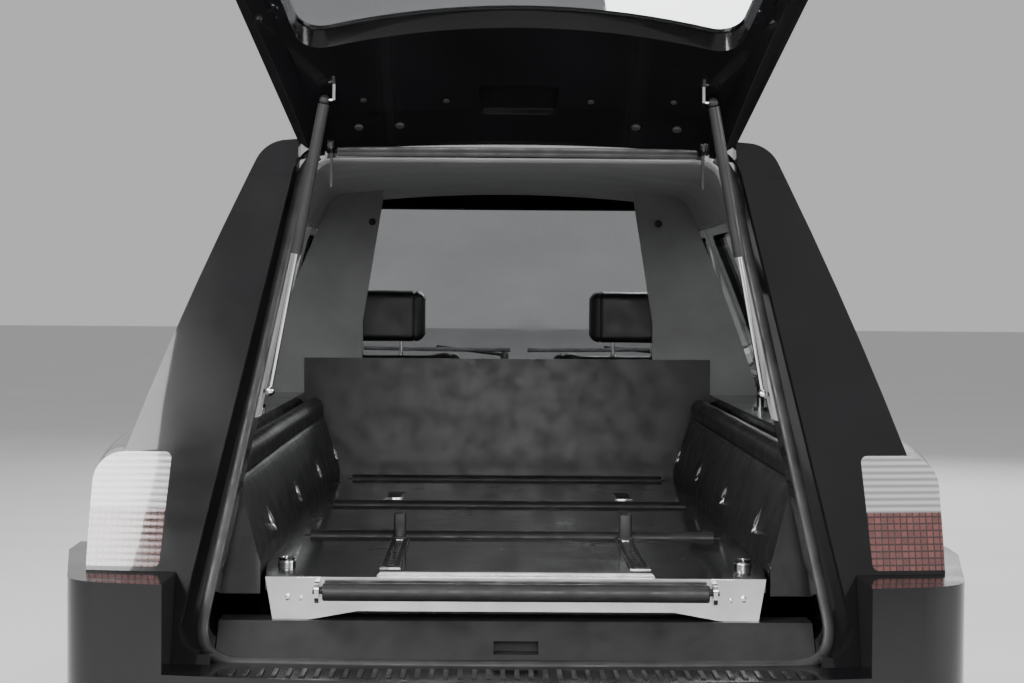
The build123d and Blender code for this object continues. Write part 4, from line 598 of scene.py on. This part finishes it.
def add_floor():
    half = 70
    material, tree, shader = new_material("floor", (0.74, 0.74, 0.735), 0.85)
    tone = mapped(tree, add_noise(tree, 1.3, 4), 0.3, 0.7, 0, 1)
    tree.links.new(mixed(tree, tone, (0.72, 0.72, 0.715), (0.76, 0.76, 0.755)), shader.inputs["Base Color"])
    mesh = bpy.data.meshes.new("floor")
    corners = [(-half, -half, 0), (half, -half, 0), (half, half, 0), (-half, half, 0)]
    mesh.from_pydata(corners, [], [(0, 1, 2, 3)])
    mesh.materials.append(material)
    floor = bpy.data.objects.new("floor", mesh)
    bpy.context.scene.collection.objects.link(floor)


# Lamps: name, place, target, size and power in watts
LAMPS = [
    ("key", (-5.5, -7.5, 5.5), (0, -1.5, 0.9), (3.5, 3.5), 620),
    ("fill", (6.5, -4.5, 3.2), (0, -1.0, 0.8), (4.0, 3.0), 260),
    ("overhead", (0, 0.5, 5.2), (0, 0.2, 0), (2.4, 7.0), 330),
    ("front", (2.5, 9.0, 4.5), (0, 2.0, 0.6), (4.0, 3.0), 320),
    ("load_space", (0.1, -7.2, 2.3), (0, -1.2, 0.9), (2.2, 1.4), 120),
]


# Load opening: seal, lining, screws, ribs, knob caps and key plates

def opening_run(grow):
    """The load opening's edge from behind, as (x, z) points, outward by grow."""
    def half(z):
        return OPENING_TOP_HALF + OPENING_SLOPE * (OPENING_TOP_HALF_Z - z) + grow
    low, high = OPENING_Z[0] - grow, OPENING_Z[1] + grow
    corners = [(half(low), low), (half(high), high), (-half(high), high), (-half(low), low)]
    return dense(round_points(corners, OPENING_CORNER + grow, 8), 0.05)


def at_hinge_arm(x, z):
    return z > 1.5 and abs(abs(x) - ARM_X) < ARM_ROOM


def make_opening_seal():
    """A rubber bead round the opening, in two lengths that leave room for the hinge arms."""
    run = dense(opening_run(0.009), 0.008)
    depth = 0.0368
    start = next(i for i in range(len(run)) if at_hinge_arm(*run[i - 1]) and not at_hinge_arm(*run[i]))
    lengths, in_gap = [], True
    for x, z in run[start:] + run[:start]:
        if at_hinge_arm(x, z):
            in_gap = True
            continue
        if in_gap:
            lengths.append([])
        in_gap = False
        lengths[-1].append(tail_place(x, z, depth))
    section = [(0.011, -0.016), (0.0125, 0.001), (0.010, 0.0035), (0.004, 0.0058), (-0.002, 0.0062),
               (-0.007, 0.0046), (-0.009, 0.001), (-0.0085, 0.0), (0.0085, 0.0), (0.0088, -0.016)]
    beads = joined(*[swept(path, section, TAIL_NORMAL) for path in lengths])
    add_object("opening_seal", beads, "body", "roller_rubber", 50)


def make_opening_lining():
    """Pale trim on the inner face of the pillars and the header, between the seal and the lining."""
    foot, middle = 0.99, 1.1
    outline = [(x, z) for x, z in opening_run(-0.0032) if z > foot]
    start = max(range(len(outline)), key=lambda i: (Vector(outline[i]) - Vector(outline[i - 1])).length)
    outline = outline[start:] + outline[:start]
    verts = []
    section = [(0.046, 0.0), (0.049, 0.0018), (0.112, 0.0018), (0.119, 0.0), (0.119, -0.0028),
               (0.046, -0.0028)]
    for x, z in outline:
        towards = Vector((-x, 0, middle - z)).normalized()
        for depth, lift in section:
            verts.append(tail_place(x, z, depth) + towards * lift)
    add_object("opening_lining", (verts, tube_faces(len(outline), len(section))), "body", "pale_lining", 40)


def screw_shape(centre, axis, radius):
    """A domed screw head with a flat rim and a sunk middle."""
    profile = [(1.25, 0), (1.25, 0.16), (1, 0.2), (0.92, 0.5), (0.62, 0.62), (0.36, 0.6), (0.3, 0.3)]
    return lathe([(radius * r, radius * h) for r, h in profile], centre, axis, 20)


def make_screws():
    """Two screws in each end of the sill plate, and one in each roller bracket."""
    shapes = []
    plate_y, bracket_y = DECK_REAR_Y - 0.0063, DECK_REAR_Y - 0.0146
    for side, _ in SIDES:
        for x in (0.431, 0.332):
            shapes.append(screw_shape((side * x, plate_y, DECK_Z - 0.037), (0, -1, 0), 0.0055))
        shapes.append(screw_shape((side * 0.406, bracket_y, DECK_Z - 0.038), (0, -1, 0), 0.004))
    add_object("sill_screws", joined(*shapes), "body", "bright_metal")


def make_bumper_ribs():
    """Rubber ribs across the low step of the rear bumper."""
    shapes = []
    count, pitch, half = 41, 0.0255, 0.0045
    for i in range(count):
        x = (i - count // 2) * pitch
        rear = BUMPER_REAR_Y + 0.040 + 0.07 * x ** 2
        shapes.append(soft_block((x - half, rear, BUMPER_STEP_Z - 0.0005),
                                 (x + half, BUMPER_REAR_Y + 0.125, BUMPER_STEP_Z + 0.0035), 0.0012, 2))
    add_object("bumper_ribs", joined(*shapes), "body", "dark_plastic")


def make_knob_caps():
    """Ringed caps on the two corner knobs, and keyed plates on the deck ahead of them."""
    rings, cores = [], []
    plate_x, plate_y = 0.300, -0.62
    for side, _ in SIDES:
        centre = (side * KNOB[0], KNOB[1], DECK_Z + 0.0115)
        rings.append(lathe([(0.0135, 0), (0.0165, 0.001), (0.0175, 0.0035), (0.0155, 0.0055),
                            (0.0125, 0.0045), (0.0120, 0.002)], centre, (0, 0, 1), 36))
        cores.append(lathe([(0.0120, 0.001), (0.0115, 0.0032), (0.006, 0.0048), (0.002, 0.005)],
                           centre, (0, 0, 1), 28))
        x, y = side * plate_x, plate_y
        rings.append(soft_block((x - 0.024, y - 0.085, DECK_Z - 0.0005),
                                (x + 0.024, y + 0.085, DECK_Z + 0.0030), 0.0012, 2))
        cores.append(soft_block((x - 0.018, y - 0.078, DECK_Z + 0.0010),
                                (x + 0.018, y + 0.078, DECK_Z + 0.0042), 0.001, 2))
    add_object("knob_rings", joined(*rings), "body", "bright_metal")
    add_object("knob_cores", joined(*cores), "body", "roller_rubber")


# Upholstered side panels

def panel_profile():
    """(x, z, puff) from the deck's edge up over the rolled top and down behind it."""
    low, top = DECK_Z - 0.040, TRIM_TOP_Z
    inner, outer = DECK_HALF + 0.0003, DECK_HALF + PANEL_WIDTH
    foot = DECK_Z + 0.020
    fold_x, fold_z = outer - 0.056, top - 0.052
    face = [(inner, low, 0), (inner, DECK_Z + 0.003, 0), (inner, foot, 0)]
    count = 14
    for i in range(1, count + 1):
        t = i / count
        puff = 0.007 * math.sin(math.pi * t) ** 0.6
        face.append((inner + (fold_x - inner) * t, foot + (fold_z - foot) * t, puff))
    face.append((fold_x + 0.003, fold_z + 0.002, -0.003))
    face.append((fold_x + 0.001, fold_z + 0.005, 0))
    roll, turn = 0.0275, 1.02
    for i in range(0, 13):
        angle = math.pi * (turn - i / 12 * turn)
        face.append((outer - roll + roll * math.cos(angle) * 0.98, top - 0.026 + 0.027 * math.sin(angle), 0))
    face.extend([(outer, top - 0.040, 0), (outer, low, 0)])
    return face


def panel_shape():
    """The right-hand panel, with slight ripples in its face that fade out at the ends."""
    profile = panel_profile()
    rows, front = 90, DECK_FRONT_Y - 0.045
    verts = []
    for i in range(rows):
        t = i / (rows - 1)
        for x, z, puff in profile:
            back = max(tail_place(x, z, TAIL_WALL + 0.004).y, TRIM_REAR_Y)
            y = back + (front - back) * t
            ripple = 0.0012 * noise.noise(Vector((0.0, y * 9, z * 16))) if puff > 0 else 0
            ends = min(1.0, t * rows / 3, (1 - t) * rows / 3)
            verts.append(Vector((x - (puff + ripple) * ends, y, z)))
    return verts, tube_faces(rows, len(profile))


def make_side_panels():
    shape = panel_shape()
    panels = add_object("side_panels", joined(shape, mirrored(shape)), "body", "black_leather", 50)
    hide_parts("side_trims")
    seams = []
    x0, z0 = DECK_HALF + PANEL_WIDTH - 0.0545, TRIM_TOP_Z - 0.048
    back = tail_place(x0, z0, TAIL_WALL + 0.006).y
    count = 300
    for i in range(count):
        y = back + 0.01 + (DECK_FRONT_Y - 0.06 - back) * i / count
        seams.append(soft_block((x0 - 0.0062, y, z0 - 0.0105),
                                (x0 - 0.0046, y + 0.0045, z0 - 0.0095), 0.0003, 1))
    shape = joined(*seams)
    add_object("panel_stitches", joined(shape, mirrored(shape)), "body", "roller_rubber")


def make_lancets():
    """Slim pointed ornaments, four on each upholstered panel."""
    shapes = []
    steps, foot, height = 16, 0.778, 0.058
    face_foot, face_height, face_lean = 0.765, 0.138, 0.0625
    section = ((0.006, -1), (0, -0.55), (-0.0025, 0), (0, 0.55), (0.006, 1))
    for y in (-1.93, -1.31, -0.69, -0.07):
        rings = []
        for t in [i / steps for i in range(steps + 1)]:
            z = foot + height * t
            half = 0.0085 * math.sin(math.pi * t) ** 0.85 + 0.0003
            x = DECK_HALF + face_lean * (z - face_foot) / face_height - 0.0062 - 0.004 * math.sin(math.pi * t)
            rings.extend([Vector((x + back, y + half * share, z)) for back, share in section])
        shapes.append((rings, tube_faces(steps + 1, len(section))))
    shape = joined(*shapes)
    add_object("panel_lancets", joined(shape, mirrored(shape)), "body", "bright_metal")


# Wheels

def tyre_shape():
    """A tyre of one closed profile, with blocks cut in its tread."""
    steps, verts = 240, []
    half, bead = TYRE_HALF, RIM_R
    # Distances in from the tyre's side, with heights above the bead and then drops below the tread
    side = [(0.016, 0.0005), (0.008, 0.006), (0.003, 0.022), (0.0005, 0.040), (0.001, 0.052), (0.0035, 0.066),
            (0.007, 0.078), (0.013, 0.090)]
    tread = [(0.020, 0.0055), (0.034, 0.0025), (0.047, 0.0015), (0.0475, 0.0085), (0.056, 0.0085),
             (0.0565, 0.0008), (0.080, 0.0004), (0.0805, 0.0085), (0.089, 0.0085), (0.0895, 0.0003)]
    right = [(half - inset, bead + rise, False) for inset, rise in side]
    right += [(half - inset, WHEEL_R - drop, True) for inset, drop in tread]
    left = [(-x, r, cut) for x, r, cut in reversed(right)]
    inner = [(-half + 0.030, bead + 0.001, False), (half - 0.030, bead + 0.001, False)]
    profile = right + left + inner
    slant, pitch, depth, plain_half = 0.035, 5, 0.006, 0.024
    for k in range(steps):
        angle = 2 * math.pi * k / steps
        for x, r, cut in profile:
            turn = angle
            if cut:
                turn += slant * abs(x) / half * (1 if x > 0 else -1)
                groove = k % pitch == (0 if x > 0 else 2) and abs(x) > plain_half
                r = min(r, WHEEL_R - depth) if groove else r
            verts.append(Vector((x, r * math.cos(turn), r * math.sin(turn))))
    return verts, ring_faces(steps, len(profile), closed=True)


def make_tyres():
    shape = tyre_shape()
    for end, axle_y in (("front", FRONT_AXLE_Y), ("rear", REAR_AXLE_Y)):
        for side, name in SIDES:
            place = Matrix.Translation((side * WHEEL_X, axle_y, WHEEL_R))
            body = "wheel_" + end + "_" + name
            tyre = add_object("tread_" + end + "_" + name, moved(shape, place), body, "tyre_rubber", 30)
            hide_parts("tyre_" + end + "_" + name)
            make_wheel_trim(end, name, side, axle_y, body)


def make_wheel_trim(end, name, side, axle_y, body):
    """Five bolts and a blank cap on the wheel's face."""
    rim = "rim_" + end + "_" + name
    bolts, bolt_circle = 5, 0.056
    shapes = []
    out, inward = (side, 0, 0), (-side, 0, 0)
    beside = side * 1.3
    for i in range(bolts):
        angle = 2 * math.pi * (i + 0.5) / bolts
        y, z = axle_y + bolt_circle * math.cos(angle), WHEEL_R + bolt_circle * math.sin(angle)
        place = hit(rim, (beside, y, z), inward)[0]
        shapes.append(lathe([(0.0105, -0.001), (0.0105, 0.005), (0.0095, 0.007), (0.006, 0.0075),
                             (0.0055, 0.003)], place, out, 6))
    add_object("bolts_" + end + "_" + name, joined(*shapes), body, "polished_steel", 20)
    face_x = hit(rim, (beside, axle_y + 0.040, WHEEL_R), inward)[0].x
    cap = lathe([(0.0350, 0.0), (0.0355, 0.004), (0.0335, 0.0075), (0.021, 0.0098), (0.008, 0.0105),
                 (0.001, 0.0107)], (face_x, axle_y, WHEEL_R), out, 40)
    add_object("cap_" + end + "_" + name, cap, body, "alloy", 40)


# Window seals

SEAL = [(-0.005, -0.003), (-0.005, 0.002), (-0.003, 0.0042), (0.003, 0.0042), (0.005, 0.002), (0.005, -0.003)]
SEAL_STEP = 0.004


def add_window_seal(name, node, direction, body):
    run = outer_rim(node, direction)
    thin = [run[0]]
    for point in run[1:]:
        if (point - thin[-1]).length > SEAL_STEP:
            thin.append(point)
    if (thin[0] - thin[-1]).length < SEAL_STEP:
        thin.pop()
    add_object(name, swept(thin, SEAL, direction, closed=True), body, "roller_rubber", 60)


def make_window_seals():
    for side, name in SIDES:
        add_window_seal("door_window_seal_" + name, "door_glass_" + name, (side, 0, 0.15), "door_" + name)
    add_window_seal("screen_seal", "windscreen", (0, 0.6, 0.8), "body")
    for side, name in SIDES:
        add_window_seal("side_window_seal_" + name, "side_windows", (side, 0, 0.15), "body")


# Front seats

def pad_shape(outline, radius, middle, half, rounding, facing, bolster, groove, seams):
    """A cushion swept across the car: rounded ends, raised side bolsters, and seams pulled into its face."""
    points = dense(round_points(outline, radius, 6), 0.011)
    count = len(points)
    normals = []
    for i in range(count):
        along = points[(i + 1) % count] - points[i - 1]
        normals.append(Vector((along.y, -along.x)).normalized())
    centre = sum(points, Vector((0, 0))) / count
    if sum(n.dot(q - centre) for n, q in zip(normals, points)) < 0:
        normals = [-n for n in normals]
    turns = [math.radians(a) for a in range(90, -1, -15)]
    ends = [(rounding * (1 - math.sin(a)), rounding * (1 - math.cos(a))) for a in turns]
    flats = 30
    slices = [(-half + e, r) for r, e in ends]
    slices += [(-half + rounding + (2 * half - 2 * rounding) * k / flats, 0) for k in range(1, flats)]
    slices += [(half - e, r) for r, e in reversed(ends)]
    facing = Vector(facing).normalized()
    along_face = Vector((-facing.y, facing.x))
    bolster_start, bolster_width, bolster_seam = 0.56, 0.22, 0.57
    verts = []
    for x, inset in slices:
        share = abs(x) / half
        side = max(0.0, min(1.0, (share - bolster_start) / bolster_width))
        lift = bolster * side * side * (3 - 2 * side)
        lift -= groove * math.exp(-((share - bolster_seam) / 0.022) ** 2)
        crown = 0.006 * (1 - share ** 2)
        for q, n in zip(points, normals):
            front = max(0.0, n.dot(facing))
            pull = sum(groove * 0.8 * math.exp(-((q.dot(along_face) - at) / 0.007) ** 2) for at in seams)
            crease = 0.0016 * noise.noise(Vector((x * 11 + middle, q.x * 14, q.y * 14)))
            rise = lift + crown - (pull if share < bolster_seam else 0)
            place = q - n * (inset - crease) + n * front * rise
            verts.append(Vector((middle + x, place.x, place.y)))
    return verts, tube_faces(len(slices), count)


def make_seats():
    """Two front seats with bolsters and seams, on plastic shells with bright headrest stems."""
    pads, shells, stems = [], [], []
    y = SEAT_BACK_Y
    stem = [(0.0062, 0), (0.0065, 0.004), (0.0065, 0.080), (0.0062, 0.086)]
    collar = [(0.0130, 0), (0.0135, 0.003), (0.0110, 0.009), (0.0068, 0.010)]
    for side, _ in SIDES:
        middle = side * SEAT_X
        cushion = [(y + 0.045, 0.385), (y + 0.045, 0.490), (y + 0.555, 0.528), (y + 0.583, 0.440),
                   (y + 0.535, 0.385)]
        pads.append(pad_shape(cushion, 0.030, middle, 0.252, 0.030, (-0.07, 1), 0.022, 0.009,
                              (-y - 0.17, -y - 0.29, -y - 0.41)))
        back = [(y + 0.122, 0.490), (y + 0.008, 0.480), (y - 0.050, 1.030), (y - 0.020, 1.078),
                (y + 0.026, 1.072), (y + 0.068, 0.960)]
        pads.append(pad_shape(back, 0.020, middle, 0.240, 0.026, (1, 0.1), 0.024, 0.009, (0.62, 0.76, 0.90)))
        head = [(y - 0.030, 1.118), (y + 0.050, 1.120), (y + 0.041, 1.274), (y - 0.037, 1.266)]
        pads.append(pad_shape(head, 0.024, middle, 0.132, 0.030, (1, 0.05), 0.004, 0.004, (1.195,)))
        shells.append(soft_block((middle - 0.193, y + 0.064, 0.300),
                                 (middle + 0.193, y + 0.516, 0.384), 0.012))
        for x in (middle - 0.150, middle + 0.150):
            shells.append(soft_block((x - 0.018, y + 0.062, 0.2955), (x + 0.018, y + 0.518, 0.302), 0.003))
        x = middle + side * 0.196
        shells.append(soft_block((x, y + 0.09, 0.40), (x + 0.003, y + 0.40, 0.455), 0.001))
        for x in (middle - 0.060, middle + 0.060):
            stems.append(lathe(stem, (x, y + 0.003, 1.055), (0, 0, 1), 20))
            stems.append(lathe(collar, (x, y + 0.003, 1.070), (0, 0, 1), 24))
    seats = add_object("seats", joined(*pads), "body", "black_leather", 60)
    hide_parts("front_seats")
    add_object("seat_bases", joined(*shells), "body", "dark_plastic")
    add_object("seat_stems", joined(*stems), "body", "bright_metal")


# Tailgate

def tail_frame(x, z, depth):
    """A matrix at a place on the closed tailgate: X across, Y up along it, Z outward."""
    up = Vector((0, math.cos(TAIL_RAKE), math.sin(TAIL_RAKE)))
    matrix = Matrix((Vector((1, 0, 0)), up, Vector(TAIL_NORMAL))).transposed().to_4x4()
    matrix.translation = tail_place(x, z, depth)
    return matrix


def make_tailgate_details():
    """Rubber stops, panel fixings, latch and handle, drawn on the closed tailgate and then raised."""
    rubber, bright, dark = [], [], []
    inward = -Vector(TAIL_NORMAL)
    stop = [(0.0090, -0.001), (0.0090, 0.002), (0.0070, 0.0042), (0.003, 0.0048)]
    for x in (-0.314, -0.233, 0.233, 0.314):
        rubber.append(lathe(stop, tail_place(x, 1.492, 0.030), inward, 20))
    fixing = [(0.0060, -0.001), (0.0060, 0.0010), (0.0046, 0.0022), (0.0022, 0.0022), (0.0018, 0.0010)]
    trim_depth = 0.042
    for x, z in ((-0.30, 1.395), (-0.14, 1.405), (0.14, 1.405), (0.30, 1.395), (-0.45, 0.80), (0.45, 0.80),
                 (-0.30, 0.68), (0.30, 0.68)):
        dark.append(lathe(fixing, tail_place(x, z, trim_depth), inward, 20))
    latch = tail_frame(0, 0.664, trim_depth)
    bright.append(moved(soft_block((-0.034, -0.020, -0.006), (0.034, 0.020, 0.001), 0.002), latch))
    bright.append(moved(soft_block((-0.012, -0.012, -0.016), (0.012, 0.012, -0.004), 0.003), latch))
    handle = tail_frame(0, 0.800, 0.0)
    bright.append(moved(soft_block((-0.230, -0.014, -0.002), (0.230, 0.014, 0.016), 0.006), handle))
    for x in (-0.10, 0.10):
        foot = soft_block((x - 0.020, -0.030, -0.004), (x + 0.020, -0.015, 0.012), 0.003)
        dark.append(moved(foot, handle))
    for name, shapes, slot in (("tailgate_stops", rubber, "roller_rubber"),
                               ("tailgate_fixings", dark, "dark_plastic"),
                               ("tailgate_bright", bright, "bright_metal")):
        add_object(name, opened(joined(*shapes)), "tailgate", slot)


# Outside details

def along_surface(node, places, direction, lift):
    """Points just above a node's surface, found by parallel rays."""
    run = []
    for place in places:
        spot, normal = hit(node, place, direction)
        run.append(spot + normal * lift)
    return run


def oval(width, height, steps=14):
    turns = [2 * math.pi * k / steps for k in range(steps)]
    return [(width * math.cos(a), height * math.sin(a)) for a in turns]


def make_door_handles():
    """A bowed pull handle with a cup behind it and a lock, on each door."""
    y, length = DOOR_REAR_Y + 0.085, 0.21
    lifts = [0.001, 0.014, 0.022, 0.026, 0.028, 0.029, 0.029, 0.029, 0.028, 0.026, 0.022, 0.014, 0.001]
    last = len(lifts) - 1
    for side, name in SIDES:
        node = "door_" + name
        beside, inward, out = side * 1.4, (-side, 0, 0), (side, 0, 0)
        spots = [(beside, y + length * k / last, HANDLE_Z) for k in range(last + 1)]
        run = along_surface(node, spots, inward, 0)
        path = [spot + Vector((side * lift, 0, 0)) for spot, lift in zip(run, lifts)]
        handle = swept(path, oval(0.0075, 0.013), (0, 0, 1))
        add_object("door_handle_" + name, handle, node, "bright_metal", 60)
        centre = hit(node, (beside, y + length / 2, HANDLE_Z), inward)[0]
        cup = lathe([(0.030, -0.004), (0.030, 0.0006), (0.027, 0.0012), (0.004, 0.0004)], (0, 0, 0), out, 36)
        stretch = Matrix.Translation(centre) @ Matrix.Diagonal((1, 2.1, 1, 1))
        add_object("door_cup_" + name, moved(cup, stretch), node, "dark_plastic", 40)
        centre = hit(node, (beside, y - 0.030, HANDLE_Z), inward)[0]
        lock = lathe([(0.009, -0.001), (0.009, 0.0016), (0.0075, 0.0022), (0.003, 0.0016)], centre, out, 24)
        add_object("door_lock_" + name, lock, node, "polished_steel", 40)


def make_wipers():
    """Two wipers that follow the windscreen's curve near its lower edge."""
    blades, arms = [], []
    facing, down, smoke_and_painted_streaks = (0, 0.5, 0.85), (0, 0, -1), 3.0
    blade_y, arm_y, drop, curve = 1.315, 1.355, 0.040, 0.12
    blade = [(-0.002, -0.0075), (-0.004, 0.0), (-0.003, 0.006), (0.003, 0.006), (0.004, 0.0),
             (0.002, -0.0075)]
    arm = [(-0.006, -0.003), (-0.007, 0.002), (-0.003, 0.004), (0.003, 0.004), (0.007, 0.002),
           (0.006, -0.003)]
    pivot = [(0.014, -0.018), (0.014, 0.004), (0.011, 0.008), (0.003, 0.009)]
    for start, end in ((0.62, 0.08), (0.02, -0.50)):
        across = [start + (end - start) * k / 16 for k in range(17)]
        spots = [(x, blade_y - curve * x * x, smoke_and_painted_streaks) for x in across]
        blades.append(swept(along_surface("windscreen", spots, down, 0.0075), blade, facing))
        reach = [start - 0.02 + ((end - start) / 2 + 0.02) * k / 10 for k in range(11)]
        spots = [(x, arm_y - curve * x * x - drop * k / 10, smoke_and_painted_streaks) for k, x in enumerate(reach)]
        path = along_surface("windscreen", spots, down, 0.019)
        arms.append(swept(path, arm, facing))
        arms.append(lathe(pivot, path[0], facing, 24))
    add_object("wiper_blades", joined(*blades), "body", "roller_rubber")
    add_object("wiper_arms", joined(*arms), "body", "dark_plastic")


def make_mirror_glass():
    half, height = 0.066, 0.044
    for side, name in SIDES:
        low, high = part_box("mirror_" + name)
        middle = (Vector(low) + Vector(high)) / 2
        x = side * (max(abs(low[0]), abs(high[0])) - 0.085)
        y = hit("mirror_" + name, (x, middle.y - 1.0, middle.z), (0, 1, 0))[0].y
        glass = soft_block((x - half, y - 0.0022, middle.z - height),
                           (x + half, y + 0.003, middle.z + height), 0.002)
        add_object("mirror_glass_" + name, glass, "door_" + name, "bright_metal")


def make_lamp_bowls():
    """Two bright bowls with a bulb cover in each headlamp."""
    bowls = []
    bowl = [(0.014, 0.0), (0.032, 0.004), (0.043, 0.018), (0.047, 0.034), (0.049, 0.034), (0.045, 0.016),
            (0.033, 0.001), (0.012, -0.003)]
    bulb_cover = [(0.024, 0.006), (0.023, 0.014), (0.017, 0.021), (0.008, 0.025), (0.001, 0.026)]
    for side, _ in SIDES:
        for x in (0.545, 0.675):
            spot = hit("headlamps", (side * x, 5, 0.655), (0, -1, 0))[0]
            centre = spot - Vector((0, 0.050, 0))
            bowls.append(lathe(bowl, centre, (0, 1, 0), 36))
            bowls.append(lathe(bulb_cover, centre, (0, 1, 0), 32))
    add_object("lamp_bowls", joined(*bowls), "body", "bright_metal", 40)


def make_lining_buttons():
    """The two dark buttons high on the lining, where the photograph shows them."""
    buttons = []
    for x, y in ((372, 223), (658, 223)):
        spot, normal = through_pixel("headlining", x, y)
        buttons.append(lathe([(0.0105, -0.001), (0.0105, 0.002), (0.008, 0.0045), (0.003, 0.0052)],
                             spot, normal, 24))
    add_object("lining_buttons", joined(*buttons), "body", "dark_plastic")


def make_stop_covers():
    """Black sleeves on the two casket stops, and black runners beside each row of peg holes."""
    sleeves, runners = [], []
    low, half = DECK_Z + 0.0035, 0.0045
    for side, _ in SIDES:
        x, y = side * TRACK_X, STOP_Y
        top = hit("deck_fittings", (x, y + 0.012, 2), (0, 0, -1))[0].z
        sleeves.append(soft_block((x - 0.0132, y - 0.0012, low),
                                  (x + 0.0132, y + 0.0252, top + 0.0012), 0.004))
        sleeves.append(soft_block((x - 0.0160, y - 0.0040, low),
                                  (x + 0.0160, y + 0.0280, low + 0.006), 0.002))
        for edge in (-0.0125, 0.0125):
            runners.append(soft_block((x + edge - half, TRACK_Y[0], DECK_Z + 0.0005),
                                      (x + edge + half, TRACK_Y[1], low + 0.0012), 0.001, 2))
    add_object("stop_sleeves", joined(*sleeves), "body", "roller_rubber")
    add_object("track_runners", joined(*runners), "body", "dark_plastic")


def main():
    add_camera()
    add_world()
    add_floor()
    for lamp in LAMPS:
        add_lamp(*lamp)
    dress_nodes()
    make_opening_seal()
    make_opening_lining()
    make_bumper_ribs()
    make_knob_caps()
    make_side_panels()
    make_lancets()
    make_tyres()
    make_screws()
    make_stop_covers()
    make_seats()
    make_tailgate_details()
    make_door_handles()
    make_wipers()
    make_mirror_glass()
    make_lamp_bowls()
    make_lining_buttons()
    make_window_seals()


main()
